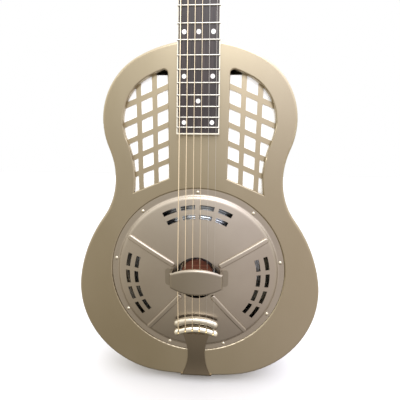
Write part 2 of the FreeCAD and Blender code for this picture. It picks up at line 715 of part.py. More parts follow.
def fret_wires():
    """Each fret: a rounded crown on the board and a tang in its slot."""
    wires = []
    for number in range(1, FRETS + 1):
        s = fret_place(number)
        half = board_half(s) - 0.3
        crown = Part.makeCylinder(FRET_HEIGHT, 2 * half, Vector(-half, 0, -s), ACROSS)
        crown = crown.common(block(-half, half, -3, 0, -s - 3, -s + 3))
        tang = block(-half + BINDING, half - BINDING, -0.2, 2.0, -s - 0.3, -s + 0.3)
        wires.append(fuse([crown, tang]))
    return wires


def dot_plugs():
    """Inlaid dots: one in the middle, two apart, or three at the octave."""
    plugs = []
    for fret, count in DOTS.items():
        s = (fret_place(fret) + fret_place(fret - 1)) / 2
        places = [DOT_SPREAD * side for side in {1: (0,), 2: (-1, 1), 3: (-1, 0, 1)}[count]]
        plugs += [Part.makeCylinder(DOT_RADIUS, 1.5, Vector(x, 0, -s), IN) for x in places]
    return plugs


def fretboard():
    board = board_prism(BINDING, 0, BOARD, 0, BOARD_LENGTH - BINDING)
    return placed(board.cut(Part.makeCompound(fret_wires() + dot_plugs())), NECK_FRAME)


def fretboard_binding():
    """The pale strip round three sides of the board."""
    outer = board_prism(0, 0, BOARD, 0, BOARD_LENGTH)
    inner = board_prism(BINDING, -1, BOARD + 1, -5, BOARD_LENGTH - BINDING)
    return placed(outer.cut(inner), NECK_FRAME)


def frets():
    return placed(Part.makeCompound(fret_wires()), NECK_FRAME)


def position_dots():
    return placed(Part.makeCompound(dot_plugs()), NECK_FRAME)


def nut():
    """A bone block with a sloping top, notched for the strings."""
    half = NUT_WIDTH / 2
    blank = block(-half, half, -2.2, BOARD, 0, NUT_LENGTH)
    crest = [e for e in flat_edges(blank, -2.2) if e.BoundBox.XLength > 10]
    blank = blank.makeFillet(1.0, crest)
    notches = Part.makeCompound([notch(number, NUT_POINT) for number in range(len(STRINGS))])
    return placed(blank, NECK_FRAME).cut(notches)


def shaft_section(s, depth):
    """Half an ellipse under the board's width, drawn s below the nut."""
    half = board_half(s)
    stretch = FreeCAD.Matrix()
    stretch.A11 = half
    stretch.A22 = depth
    bow = Part.Arc(Vector(1, 0, 0), Vector(0, 1, 0), Vector(-1, 0, 0)).toShape()
    wire = Part.Wire([bow, line(Vector(-1, 0, 0), Vector(1, 0, 0))]).transformGeometry(stretch)
    wire.translate(Vector(0, BOARD, -s))
    return Part.Wire(wire.Edges)


def neck_depth(s):
    """Depth of wood under the board: a slow swell, then the heel's S-curve."""
    swell = 14.5 + 3.5 * max(s, 0) / 268
    heel = min(max((s - 266) / 42, 0), 1)
    return swell + 82 * heel * heel * (3 - 2 * heel)


def neck_shaft():
    stations = [-NUT_LENGTH, 266] + [266 + 3 * step for step in range(1, 15)] + [330]
    return Part.makeLoft([shaft_section(s, neck_depth(s)) for s in stations], True, True)


def head_plan():
    """The headstock's outline in its own frame: shoulders, straight cheeks, a gently bowed top."""
    neck_half = board_half(-NUT_LENGTH)
    half = HEAD_HALF_WIDTH
    top = HEAD_LENGTH
    side = [(neck_half, 0), (neck_half + 0.4, 6), (half - 1.2, 18), (half, 23)]
    shoulders = []
    for hand in (1, -1):
        curve = Part.BSplineCurve()
        curve.interpolate(Points=[Vector(hand * x, 0, z) for x, z in side],
                          InitialTangent=UP, FinalTangent=UP)
        shoulders.append(curve.toShape())
    brow = [Vector(half, 0, top - 14), Vector(half - 7, 0, top - 5), Vector(0, 0, top),
            Vector(-half + 7, 0, top - 5), Vector(-half, 0, top - 14)]
    corners = [arc(brow[0], Vector(half - 1.8, 0, top - 8), brow[1]),
               arc(brow[3], Vector(-half + 1.8, 0, top - 8), brow[4])]
    cheeks = [line(Vector(half, 0, 23), brow[0]), line(brow[4], Vector(-half, 0, 23))]
    foot = line(Vector(neck_half, 0, 0), Vector(-neck_half, 0, 0))
    return shoulders + corners + cheeks + [foot, arc(*brow[1:4])]


def head_slab(y0, y1):
    solid = Part.Face(Part.Wire(Part.__sortEdges__(head_plan()))).extrude(IN * (y1 - y0))
    solid.translate(IN * y0)
    return solid


def string_slots():
    """The two through slots of the headstock, each with a ramp towards the nut."""
    reach = (SLOT_OUTER - SLOT_INNER) / 2
    middle = (SLOT_OUTER + SLOT_INNER) / 2
    slots = []
    for side in (-1, 1):
        x = side * middle
        low, high = SLOT_START + reach, SLOT_END - reach
        slots.append(block(x - reach, x + reach, -1, HEAD_THICKNESS + 1, low, high))
        slots += [Part.makeCylinder(reach, HEAD_THICKNESS + 2, Vector(x, -1, z), IN)
                  for z in (low, high)]
        ramp = block(x - reach + 1, x + reach - 1, -8, 0, -2, 22)
        ramp.rotate(Vector(x, 0, SLOT_START + 16), ACROSS, 17)
        slots.append(ramp.common(block(-40, 40, -1, HEAD_THICKNESS, 7.5, 60)))
    return fuse(slots)


def post_holes(radius):
    """Blind bores through each cheek into the middle web."""
    bores = []
    for z in POST_STATIONS:
        for side in (-1, 1):
            start = Vector(side * 3.0, POST_DEPTH, z)
            bores.append(rod(start, start + ACROSS * side * 37, radius))
    return bores


def neck():
    """One piece of mahogany: slotted head, shaft, heel, and the tongue under the board's end."""
    head = head_slab(OVERLAY, HEAD_THICKNESS)
    head = head.makeChamfer(1.0, [e for e in head.Edges
                                  if e.BoundBox.YMin > HEAD_THICKNESS - 0.01 and e.BoundBox.ZMax > 20])
    head = head.cut(Part.makeCompound([string_slots()] + post_holes(POST_RADIUS + 0.3)))
    tongue = placed(board_prism(2.2, BOARD, 30, 300, BOARD_LENGTH - 2), NECK_FRAME)
    tongue = tongue.common(block(-50, 50, TOP_Y - 30, TOP_Y, SADDLE_Z, SADDLE_Z + 400))
    wood = fuse([placed(neck_shaft(), NECK_FRAME), placed(head, HEAD_FRAME)])
    body = slab(body_outline(), -BODY_DEPTH - 60, 0)
    wood = wood.cut(body).cut(block(-60, 60, TOP_Y - 20, BACK_Y + 80, 0, SADDLE_Z + 300))
    wood = wood.cut(block(-60, 60, HEEL_CAP_Y, BACK_Y + 80, 0, SADDLE_Z + 400))
    wood = fuse([wood, tongue])
    rod_channel = rod(Vector(0, BOARD + 5, 12), Vector(0, BOARD + 5, -300), 3.1)
    pocket = placed(block(-4, 4, -1, 9, 6, 26), HEAD_FRAME)
    screws = tuner_plate_screws().fuse(truss_cover_screws())
    return wood.cut(Part.makeCompound([placed(rod_channel, NECK_FRAME), pocket])).cut(screws)


def heel_cap():
    """The thin plate that closes the heel."""
    heel = placed(neck_shaft(), NECK_FRAME).cut(slab(body_outline(), -BODY_DEPTH - 60, 0))
    cap = heel.common(block(-60, 60, HEEL_CAP_Y - 0.5, HEEL_CAP_Y,
                            SADDLE_Z + 300, SADDLE_Z + 400))
    ends = [f for f in cap.Faces if abs(f.CenterOfMass.y - HEEL_CAP_Y) < 0.01]
    return max(ends, key=lambda f: f.Area).extrude(IN * HEEL_CAP)


def neck_stick():
    """The stick that carries the neck's pull through the body to the tail."""
    low = BODY_END_Z + 2 * SHEET + 0.3
    high = BODY_END_Z + BODY_LENGTH - SHEET
    stick = block(-STICK_HALF, STICK_HALF, STICK_FRONT, STICK_REAR, low, high)
    return stick.cut(Part.makeCylinder(2.05, 60, Vector(0, 0, -1), UP))


def stick_supports():
    """Short wooden posts between the stick and the back."""
    stand = BACK_Y - SHEET - STICK_REAR
    return Part.makeCompound([Part.makeCylinder(11, stand, Vector(0, STICK_REAR, z), IN)
                              for z in (SADDLE_Z - 70, SADDLE_Z + 70, SADDLE_Z + 230)])


def headstock_overlay():
    """The veneer on the headstock's face."""
    veneer = head_slab(0, OVERLAY).cut(string_slots())
    veneer = veneer.cut(block(-4, 4, -1, 9, 6, 26))
    return placed(veneer, HEAD_FRAME).cut(truss_cover_screws())


def truss_rod():
    """The steel rod in the neck, with its adjusting nut in the headstock's pocket."""
    bar = rod(Vector(0, BOARD + 5, 6), Vector(0, BOARD + 5, -298), 3.0)
    nut_end = rod(Vector(0, BOARD + 5, 6), Vector(0, BOARD + 5, 11), 2.6)
    return placed(fuse([bar, nut_end]), NECK_FRAME)


def truss_rod_cover():
    """A small bell-shaped plate over the pocket."""
    corners = [Vector(x, 0, z) for x, z in ((-4, 24), (-7, 1.5), (7, 1.5), (4, 24))]
    edges = chain(*corners) + [arc(corners[-1], Vector(0, 0, 29), corners[0])]
    plate = Part.Face(Part.Wire(edges)).extrude(OUT * 1.4)
    return placed(plate, HEAD_FRAME).cut(truss_cover_screws())


def truss_cover_screws():
    return Part.makeCompound([placed(screw(Vector(x, -1.4, z), OUT, 1.3, 0.8, 6), HEAD_FRAME)
                              for x, z in ((-5.3, 4.2), (5.3, 4.2), (0, 27.4))])


# ---- tuners -------------------------------------------------------------------------------
PLATE_FACE = HEAD_HALF_WIDTH + TUNER_PLATE
WORM_TIP = WORM_PITCH_RADIUS + ADDENDUM
GEAR_X = PLATE_FACE + WORM_TIP + 0.45
GEAR_PITCH_RADIUS = MODULE * GEAR_TEETH / 2
CENTRES = GEAR_PITCH_RADIUS + WORM_PITCH_RADIUS
LEAD = math.pi * MODULE
FLANK = math.tan(math.radians(20))
EAR = 1.2
EAR_REACH = 4.95                  # from the gear's centre line to an ear's inner face
POST_TIP_RADIUS = 2.0


def tuner_plate(side):
    """A long plate on the cheek, with two ears for each worm, bored for posts and shafts."""
    face = side * PLATE_FACE
    x0, x1 = sorted((side * HEAD_HALF_WIDTH, face))
    sheet = block(x0, x1, 1.0, 14.0, 26, 126)
    sheet = sheet.makeFillet(3.0, [e for e in sheet.Edges if e.BoundBox.XLength > 1])
    parts = [sheet]
    bores = []
    e0, e1 = sorted((face - side * 0.2, side * (GEAR_X + 3.4)))
    for z in POST_STATIONS:
        worm_z = z + CENTRES
        for low in (POST_DEPTH - EAR_REACH - EAR, POST_DEPTH + EAR_REACH):
            ear = block(e0, e1, low, low + EAR, worm_z - 3.4, worm_z + 3.4)
            outer = [e for e in ear.Edges
                     if e.BoundBox.YLength > 1 and abs(e.BoundBox.Center.x) > GEAR_X + 1]
            parts.append(ear.makeFillet(3.0, outer))
        bores.append(Part.makeCylinder(SHAFT_RADIUS + RUNNING, 40,
                                       Vector(side * GEAR_X, -10, worm_z), IN))
        start = Vector(side * (HEAD_HALF_WIDTH - 3), POST_DEPTH, z)
        bores.append(rod(start, start + ACROSS * side * 23, POST_RADIUS + RUNNING))
    plate = fuse(parts).cut(Part.makeCompound(bores))
    return placed(plate, HEAD_FRAME).cut(tuner_plate_screws())


def tuner_plate_screws():
    """Four small screws in each plate, between the tuners."""
    screws = []
    for side in (-1, 1):
        for z in (29.0, 56.5, 91.5, 123.0):
            seat = Vector(side * PLATE_FACE, POST_DEPTH, z)
            screws.append(placed(screw(seat, ACROSS * side, 2.0, 1.1, 8), HEAD_FRAME))
    return Part.makeCompound(screws)


def post(side, z):
    """The string post: shoulder outside the plate, shaft across the slot, cross hole for a string."""
    gear_inner = GEAR_X - GEAR_THICKNESS / 2
    axis = Vector(side, 0, 0)

    def along(x0, x1, radius):
        return rod(Vector(side * x0, POST_DEPTH, z), Vector(side * x1, POST_DEPTH, z), radius)
    gear_outer = GEAR_X + GEAR_THICKNESS / 2
    parts = [along(3.6, PLATE_FACE + 0.1, POST_RADIUS),
             along(PLATE_FACE + 0.1, gear_inner, POST_RADIUS + 0.6),
             along(gear_inner, gear_outer + 0.1, POST_TIP_RADIUS)]
    cap = screw(Vector(side * gear_outer, POST_DEPTH, z), axis, 3.0, 1.0, 2)
    middle = side * (SLOT_INNER + SLOT_OUTER) / 2
    hole = Part.makeCylinder(0.9, 20, Vector(middle, -3, z), IN)
    return placed(fuse(parts + [cap]).cut(hole), HEAD_FRAME)


def gear(side, z):
    """A spur gear of sixteen teeth on the post's tip; one tooth points at the worm."""
    points = []
    for tooth in range(GEAR_TEETH):
        middle = 2 * math.pi * tooth / GEAR_TEETH
        for radius, turn in ((GEAR_PITCH_RADIUS - 0.6, -1), (GEAR_PITCH_RADIUS + ADDENDUM, -1),
                             (GEAR_PITCH_RADIUS + ADDENDUM, 1), (GEAR_PITCH_RADIUS - 0.6, 1)):
            half = TOOTH / 2 - (radius - GEAR_PITCH_RADIUS) * FLANK
            a = middle + turn * half / radius
            points.append(Vector(0, radius * math.sin(a), radius * math.cos(a)))
    wheel = face_of(points).extrude(ACROSS * GEAR_THICKNESS)
    wheel.translate(Vector(-GEAR_THICKNESS / 2, 0, 0))
    wheel = wheel.cut(rod(Vector(-5, 0, 0), Vector(5, 0, 0), POST_TIP_RADIUS))
    wheel.translate(Vector(side * GEAR_X, POST_DEPTH, z))
    return placed(wheel, HEAD_FRAME)


def worm_blank():
    """One worm and its shaft about +Z; z = 0 is level with the gear's middle."""
    run = 3.5 * LEAD
    start = -1.75 * LEAD
    inner = SHAFT_RADIUS - 0.3
    helix = Part.makeHelix(LEAD, run, WORM_PITCH_RADIUS)
    half_in = TOOTH / 2 + (WORM_PITCH_RADIUS - inner) * FLANK
    half_out = TOOTH / 2 - ADDENDUM * FLANK
    corners = [Vector(inner, 0, -half_in), Vector(WORM_TIP, 0, -half_out),
               Vector(WORM_TIP, 0, half_out), Vector(inner, 0, half_in)]
    section = Part.Wire(chain(*corners, corners[0]))
    thread = Part.Wire(helix.Edges).makePipeShell([section], True, True)
    thread.translate(Vector(0, 0, start))
    shaft = Part.makeCylinder(SHAFT_RADIUS, 22.0, Vector(0, 0, -EAR_REACH - EAR - 0.6))
    collar = Part.makeCylinder(SHAFT_RADIUS + 1.0, 0.8, Vector(0, 0, EAR_REACH + EAR + 0.1))
    tip = Part.makeCylinder(SHAFT_RADIUS + 0.7, 0.8, Vector(0, 0, -EAR_REACH - EAR - 0.9))
    return fuse([shaft, thread, collar, tip])


def worm(side, z, blank):
    """A worm in its ears, its shaft pointing out behind the headstock."""
    piece = blank.copy()
    piece.Placement = Placement(Vector(side * GEAR_X, POST_DEPTH, z + CENTRES), Rotation(ACROSS, -90))
    return placed(piece, HEAD_FRAME)


def button(side, z):
    """An oval finger button on the shaft's end."""
    base = POST_DEPTH + EAR_REACH + EAR + 3.2
    x = side * GEAR_X
    zz = z + CENTRES
    neck_part = Part.makeCone(2.8, 3.6, 3.0, Vector(x, base, zz), IN)
    flat = Part.makeSphere(1.0)
    stretch = FreeCAD.Matrix()
    stretch.A11 = 3.6
    stretch.A22 = 6.8
    stretch.A33 = 9.0
    oval = flat.transformGeometry(stretch)
    oval.translate(Vector(x, base + 8.6, zz))
    knob = fuse([neck_part, oval])
    shaft_end = POST_DEPTH + 22.0 - EAR_REACH - EAR - 0.6
    bore = Part.makeCylinder(SHAFT_RADIUS, shaft_end - base + 1, Vector(x, base - 1, zz), IN)
    return placed(knob.cut(bore), HEAD_FRAME)


# ---- strings ------------------------------------------------------------------------------
def string_x(number, spread):
    return -spread / 2 + spread * number / (len(STRINGS) - 1)


def string_post(number):
    """Outer strings go to the nearest posts, inner strings to the farthest."""
    side = -1 if number < 3 else 1
    rank = number if number < 3 else len(STRINGS) - 1 - number
    return side, POST_STATIONS[rank], side * (17.2 - 2.0 * rank)


def string_points(number):
    """Post, nut, saddle, the crest of the tailpiece's upper roll, and the ball end's pocket."""
    radius = STRINGS[number] / 2
    side, station, wrap_x = string_post(number)
    nut_x = string_x(number, NUT_SPREAD)
    x = string_x(number, SADDLE_SPREAD)
    sag = head_sag(x)
    lean = math.radians(CREST_LEAN)
    reach = (HEAD_ROLL + radius) * CREST_REACH
    return [HEAD_FRAME.multVec(Vector(wrap_x, POST_DEPTH - POST_RADIUS - radius - 0.35, station)),
            NECK_FRAME.multVec(Vector(nut_x, -FRET_HEIGHT - 0.45 - radius, NUT_LENGTH / 2)),
            spot(x, SADDLE_Z, SADDLE_TOP - 0.3 + radius),
            spot(x, SADDLE_Z + HEAD_UPPER - sag - reach * math.sin(lean),
                 HEAD_HEIGHT + reach * math.cos(lean)),
            spot(x, SADDLE_Z + HEAD_LOWER - sag - 3.4, HEAD_HEIGHT)]


def notch(number, point):
    """A slot, open outwards, that follows a string across the saddle or the nut."""
    points = string_points(number)
    place = points[point]
    reach = STRINGS[number] / 2 + 0.04
    parts = [block(place.x - reach, place.x + reach, place.y - 4, place.y,
                   place.z - 8, place.z + 8), Part.makeSphere(reach, place)]
    for other in (points[point - 1], points[point + 1]):
        step = Vector(other - place).normalize() * 8
        parts.append(rod(place, place + step, reach))
    return fuse(parts)


def string_run(number):
    """A string as straight runs with rounded joints."""
    radius = STRINGS[number] / 2
    points = string_points(number)
    parts = [rod(a, b, radius) for a, b in zip(points, points[1:])]
    parts += [Part.makeSphere(radius * BEND_SWELL, p) for p in points[1:-1]]
    return fuse(parts)


def string(number):
    """A whole string with its ball end across the tailpiece's pocket."""
    end = string_points(number)[-1]
    ball = rod(end - ACROSS * 1.9, end + ACROSS * 1.9, 1.9)
    return fuse([string_run(number), ball])


def wound_strings():
    return Part.makeCompound([string(number) for number in range(WOUND)])


def plain_strings():
    return Part.makeCompound([string(number) for number in range(WOUND, len(STRINGS))])


# ---- build --------------------------------------------------------------------------------
def build():
    """Every piece by name; tuners are numbered 1 to 6 from the bass string's."""
    grille = lattice()
    pieces = {
        "body_top": body_top(), "body_sides": body_sides(), "body_back": body_back(),
        "sound_well": sound_well(), "grille_left": mirrored(grille), "grille_right": grille,
        "sound_cloths": sound_cloths(), "coverplate": coverplate(), "hand_rest": hand_rest(),
        "coverplate_screws": coverplate_screws(), "cone": cone(), "biscuit": biscuit(),
        "saddle": saddle(), "biscuit_screw": biscuit_screw(), "tailpiece": tailpiece(),
        "tailpiece_cover": tailpiece_cover(), "tailpiece_screws": tailpiece_screws(),
        "strap_button": strap_button(), "neck": neck(), "fretboard": fretboard(),
        "fretboard_binding": fretboard_binding(), "frets": frets(), "position_dots": position_dots(),
        "nut": nut(), "headstock_overlay": headstock_overlay(), "truss_rod": truss_rod(),
        "truss_rod_cover": truss_rod_cover(), "truss_cover_screws": truss_cover_screws(),
        "neck_stick": neck_stick(), "stick_supports": stick_supports(), "heel_cap": heel_cap(),
        "wound_strings": wound_strings(), "plain_strings": plain_strings(),
        "tuner_plate_left": tuner_plate(-1), "tuner_plate_right": tuner_plate(1),
        "tuner_plate_screws": tuner_plate_screws(),
    }
    blank = worm_blank()
    for number in range(len(STRINGS)):
        side, station, _ = string_post(number)
        name = number + 1
        pieces[f"post_{name}"] = post(side, station)
        pieces[f"gear_{name}"] = gear(side, station)
        pieces[f"worm_{name}"] = worm(side, station, blank)
        pieces[f"button_{name}"] = button(side, station)
    return pieces


if __name__ == "__main__":
    os.makedirs("parts", exist_ok=True)
    for name, shape in build().items():
        solids = shape.Solids
        print(f"{name:22s} solids {len(solids):2d}  volume {shape.Volume:10.1f}  valid {shape.isValid()}")
        shape.exportStep(f"parts/{name}.step")
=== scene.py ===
# %% [markdown]
# # A metal-bodied resonator guitar
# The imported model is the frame: every plate, screw and tuner is already in its place, in metres,
# with +Z up the neck and the front facing -Y.  These cells give each surface its finish and make
# the pieces that want finer geometry than the frame holds: cloth, cone, strings and their turns.

# %% Load the frame
import json
import math
import bpy
import numpy as np
from mathutils import Matrix, Vector


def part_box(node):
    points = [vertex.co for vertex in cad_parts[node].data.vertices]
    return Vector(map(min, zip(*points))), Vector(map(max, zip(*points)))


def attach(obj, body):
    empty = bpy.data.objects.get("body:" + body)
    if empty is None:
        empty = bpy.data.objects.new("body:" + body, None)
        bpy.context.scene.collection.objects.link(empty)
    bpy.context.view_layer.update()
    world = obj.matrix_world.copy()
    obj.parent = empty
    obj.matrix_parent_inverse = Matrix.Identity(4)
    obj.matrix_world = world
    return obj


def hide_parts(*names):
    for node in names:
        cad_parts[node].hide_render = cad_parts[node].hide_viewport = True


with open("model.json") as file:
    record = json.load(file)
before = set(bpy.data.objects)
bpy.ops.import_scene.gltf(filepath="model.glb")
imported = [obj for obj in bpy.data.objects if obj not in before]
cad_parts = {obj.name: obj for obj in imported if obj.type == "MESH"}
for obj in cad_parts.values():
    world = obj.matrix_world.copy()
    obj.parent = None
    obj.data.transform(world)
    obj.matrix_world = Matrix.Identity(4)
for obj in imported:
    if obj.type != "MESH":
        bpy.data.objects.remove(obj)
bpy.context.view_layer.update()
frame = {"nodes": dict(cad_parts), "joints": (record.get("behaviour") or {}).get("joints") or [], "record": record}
nodes = frame["nodes"]

# %% [markdown]
# ## Landmarks
# A few places are wanted again and again: the plane of the body's top and the line of the saddle,
# which is also the height of the cone's axis.  They could be typed in as numbers, but are read from
# the frame's own boxes, so that they follow it.  The body's sides start a little behind the top,
# by its rounded edge (4 mm) and a clearance (0.2 mm).

# %% Landmarks from the frame
MM = 0.001
ROOT = "instrument"
SIDES_BEHIND_TOP = 4.2 * MM
saddle_low, saddle_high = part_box("saddle")
SADDLE_Z = (saddle_low.z + saddle_high.z) / 2
TOP_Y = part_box("body_sides")[0].y - SIDES_BEHIND_TOP
print(f"saddle line z {SADDLE_Z:.4f}, top plane y {TOP_Y:.4f}")

# %% [markdown]
# ## Camera
# The view is close and wide: the eye is about a third of a metre in front of the top, a little to
# the treble side and above the saddle, looking slightly down.  A camera can be aimed at a target,
# but then its roll is hidden.  Three small turns in a row (yaw, pitch, roll) show every part of it.

# %% Camera
EYE_RIGHT, EYE_AWAY, EYE_ABOVE_SADDLE = 20.8 * MM, 349.6 * MM, 177.3 * MM
EYE = Vector((EYE_RIGHT, TOP_Y - EYE_AWAY, SADDLE_Z + EYE_ABOVE_SADDLE))
YAW, PITCH, ROLL = 0.05, 0.18, -0.011
SENSOR, LENS = 36.0, 22.5
NEAREST_SEEN = 0.01


def view_axes(yaw, pitch, roll):
    """The eye's right, forward and up directions: yaw about Z, pitch about X, roll about Y."""
    cy, sy, cp, sp, cr, sr = (f(a) for a in (yaw, pitch, roll) for f in (math.cos, math.sin))
    turn = np.array([[cy, sy, 0], [-sy, cy, 0], [0, 0, 1]])
    nod = np.array([[1, 0, 0], [0, cp, -sp], [0, sp, cp]])
    lean = np.array([[cr, 0, -sr], [0, 1, 0], [sr, 0, cr]])
    return lean @ nod @ turn


right, forward, up = view_axes(YAW, PITCH, ROLL)
camera_data = bpy.data.cameras.new("camera")
camera_data.lens = LENS
camera_data.sensor_width = SENSOR
camera_data.clip_start = NEAREST_SEEN
camera = bpy.data.objects.new("camera", camera_data)
bpy.context.scene.collection.objects.link(camera)
facing = Matrix(np.column_stack([right, up, -forward])).to_4x4()
camera.matrix_world = Matrix.Translation(EYE) @ facing
bpy.context.scene.camera = camera
print("camera at", [round(v, 3) for v in EYE])

# %% [markdown]
# ## Node helpers
# A finish is a small graph of nodes.  It could be wired node by node, but then every finish would
# repeat the same lines.  One helper adds a node and fills its inputs, and a few more name the
# patterns that every finish here is made of: stretched places, cloudy noise, a run of colours, and
# a bump whose depth is given in metres.

# %% Node helpers
def add(tree, kind, inputs=None, **settings):
    """Adds a node.  Settings are its own choices; an input given a socket is linked to it."""
    made = tree.nodes.new("ShaderNode" + kind)
    for key, value in settings.items():
        setattr(made, key, value)
    for key, value in (inputs or {}).items():
        if isinstance(value, bpy.types.NodeSocket):
            tree.links.new(value, made.inputs[key])
        else:
            made.inputs[key].default_value = value
    return made


def place(tree, scale=(1, 1, 1), centre=(0, 0, 0)):
    """Object coordinates in metres, moved to a centre and then multiplied along each axis."""
    spot = add(tree, "TexCoord").outputs["Object"]
    moved = add(tree, "VectorMath", {0: spot, 1: centre}, operation="SUBTRACT").outputs[0]
    return add(tree, "VectorMath", {0: moved, 1: scale}, operation="MULTIPLY").outputs[0]


def noise(tree, where, detail=3.0):
    """Cloudy values about a half."""
    return add(tree, "TexNoise", {"Vector": where, "Scale": 1.0, "Detail": detail}).outputs[0]


def level(tree, value, low, high, start=0.0, end=1.0):
    """Value carried from the range low..high to start..end and held at both ends."""
    inputs = {"Value": value, "From Min": low, "From Max": high, "To Min": start, "To Max": end}
    return add(tree, "MapRange", inputs).outputs[0]


def run(tree, share, *stops):
    """A colour that goes through the stops, (position, colour), as share goes from 0 to 1."""
    made = add(tree, "ValToRGB", {"Fac": share})
    points = made.color_ramp.elements
    points.remove(points[1])
    points[0].position = stops[0][0]
    points[0].color = (*stops[0][1], 1)
    for position, colour in stops[1:]:
        points.new(position).color = (*colour, 1)
    return made.outputs["Color"]


def axis_of(tree, where, axis):
    """One coordinate of a vector."""
    return add(tree, "SeparateXYZ", {0: where}).outputs[axis]


def arithmetic(tree, operation, a, b):
    """One sum on two values, such as MULTIPLY or MAXIMUM."""
    return add(tree, "Math", {0: a, 1: b}, operation=operation).outputs[0]


def bump(tree, height, depth, strength=1.0):
    """The surface's direction, tilted as if the height pattern were depth metres deep."""
    return add(tree, "Bump", {"Height": height, "Distance": depth, "Strength": strength}).outputs[0]


def finish_of(name, **sockets):
    """A new material, its tree and its shader.  A socket's name has _ for a space."""
    made = bpy.data.materials.new(name)
    made.use_nodes = True
    shader = made.node_tree.nodes["Principled BSDF"]
    for key, value in sockets.items():
        socket = shader.inputs[key.replace("_", " ")]
        socket.default_value = (*value, 1) if isinstance(value, tuple) else value
    return made, made.node_tree, shader


def feed(tree, shader, **sockets):
    """Links patterns to the shader's sockets."""
    for key, value in sockets.items():
        tree.links.new(value, shader.inputs[key.replace("_", " ")])


print("node helpers ready")

# %% [markdown]
# ## Room
# Satin metal shows the room more than its own colour.  A picture of a room could light it, but a
# run of colours is lighter and easy to read.  So the world goes from a dark warm floor to a bright
# ceiling, is dimmest a little to the bass side of the middle and brighter towards the treble side,
# and the camera itself sees plain white.

# %% World
ROOM_BY_HEIGHT = (
    (0.0, (0.10, 0.09, 0.07)), (0.07, (0.34, 0.31, 0.26)), (0.16, (0.56, 0.515, 0.44)),
    (0.25, (0.66, 0.61, 0.53)), (0.34, (0.70, 0.65, 0.575)), (0.42, (0.75, 0.71, 0.65)),
    (0.50, (0.83, 0.79, 0.73)), (0.565, (1.0, 0.975, 0.925)), (0.64, (1.28, 1.26, 1.23)),
    (0.80, (1.8, 1.8, 1.8)), (1.0, (2.9, 2.9, 3.0)))
ROOM_BY_SIDE = (
    (0.0, (1.1, 1.08, 1.02)), (0.2, (0.95, 0.93, 0.88)), (0.325, (0.76, 0.74, 0.70)),
    (0.5, (1.0, 1.0, 1.0)), (0.675, (1.26, 1.24, 1.40)), (0.8, (1.25, 1.23, 1.30)),
    (1.0, (1.3, 1.3, 1.3)))


def make_world():
    """Light from a direction = its colour by height x its colour from bass side to treble side."""
    world = bpy.data.worlds.new("room")
    bpy.context.scene.world = world
    world.use_nodes = True
    tree = world.node_tree
    tree.nodes.clear()
    toward = add(tree, "TexCoord").outputs["Generated"]
    height = level(tree, axis_of(tree, toward, "Z"), -1.0, 1.0)
    side = level(tree, axis_of(tree, toward, "X"), -1.0, 1.0)
    by_height = run(tree, height, *ROOM_BY_HEIGHT)
    by_side = run(tree, side, *ROOM_BY_SIDE)
    both = add(tree, "VectorMath", {0: by_height, 1: by_side}, operation="MULTIPLY").outputs[0]
    lit = add(tree, "Background", {"Color": both, "Strength": 1.0}).outputs[0]
    seen = add(tree, "Background", {"Color": (1, 1, 1, 1), "Strength": 1.0}).outputs[0]
    camera_ray = add(tree, "LightPath").outputs["Is Camera Ray"]
    mixed = add(tree, "MixShader", {0: camera_ray, 1: lit, 2: seen}).outputs[0]
    add(tree, "OutputWorld", {"Surface": mixed})


make_world()
bpy.context.scene.view_settings.view_transform = "Standard"
print("room stops:", len(ROOM_BY_HEIGHT), "by height,", len(ROOM_BY_SIDE), "by side")

# %% [markdown]
# ## Meshes from arrays
# Every new piece is a grid of points worked out by a formula.  Blender's own tools could model
# them by hand, but a formula says exactly what the shape is.  Two helpers do what all of them
# need: the quads over a grid, and an object from points and faces.

# %% Mesh helpers
def mesh_piece(name, points, faces, material):
    """A new object from points and faces, each an array or a list, linked to the scene."""
    mesh = bpy.data.meshes.new(name)
    faces = faces.tolist() if isinstance(faces, np.ndarray) else faces
    mesh.from_pydata(np.asarray(points).reshape(-1, 3), [], faces)
    mesh.polygons.foreach_set("use_smooth", [True] * len(mesh.polygons))
    mesh.materials.append(material)
    mesh.update()
    made = bpy.data.objects.new(name, mesh)
    bpy.context.scene.collection.objects.link(made)
    return made


def grid_faces(rows, columns, close_rows=False, close_columns=False):
    """Quads over rows x columns points; a closed direction joins its last line to its first."""
    i = np.arange(rows if close_rows else rows - 1)
    j = np.arange(columns if close_columns else columns - 1)
    i, j = (part.ravel() for part in np.meshgrid(i, j, indexing="ij"))
    ii, jj = (i + 1) % rows, (j + 1) % columns
    corners = (i * columns + j, i * columns + jj, ii * columns + jj, ii * columns + j)
    return np.stack(corners, axis=1)


print("quads over a 3 x 4 grid:", len(grid_faces(3, 4)))

# %% [markdown]
# ## Floor and lamp
# The guitar stands over a wide sheet of pale paper, which takes its soft shadow.  The paper is one
# square, kept out of the metal's reflections, because the room's own run of colours already has a
# floor in it.  One large lamp, high in front, gives the soft shadow; a small one would cut it hard.

# %% Floor and key light
FLOOR_GAP = 0.5 * MM
FLOOR_HALF = 4.0
FLOOR_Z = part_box("strap_button")[0].z - FLOOR_GAP
paper, _, _ = finish_of("paper_floor", Base_Color=(0.60, 0.60, 0.60), Roughness=0.9)
floor_corners = [(x * FLOOR_HALF, y * FLOOR_HALF, FLOOR_Z)
                 for x, y in ((-1, -1), (1, -1), (1, 1), (-1, 1))]
floor = mesh_piece("floor", floor_corners, [(0, 1, 2, 3)], paper)
floor.visible_glossy = False


def soft_light(name, spot, target, size, power):
    """A square lamp of this size in metres that faces the target."""
    lamp = bpy.data.lights.new(name, "AREA")
    lamp.size = size
    lamp.energy = power
    made = bpy.data.objects.new(name, lamp)
    made.location = spot
    made.rotation_euler = (Vector(target) - Vector(spot)).to_track_quat("-Z", "Y").to_euler()
    bpy.context.scene.collection.objects.link(made)


soft_light("key", (0.15, -1.1, 1.5), target=(0.0, 0.0, 0.25), size=0.9, power=9.0)
print(f"floor at z {FLOOR_Z:.4f}")

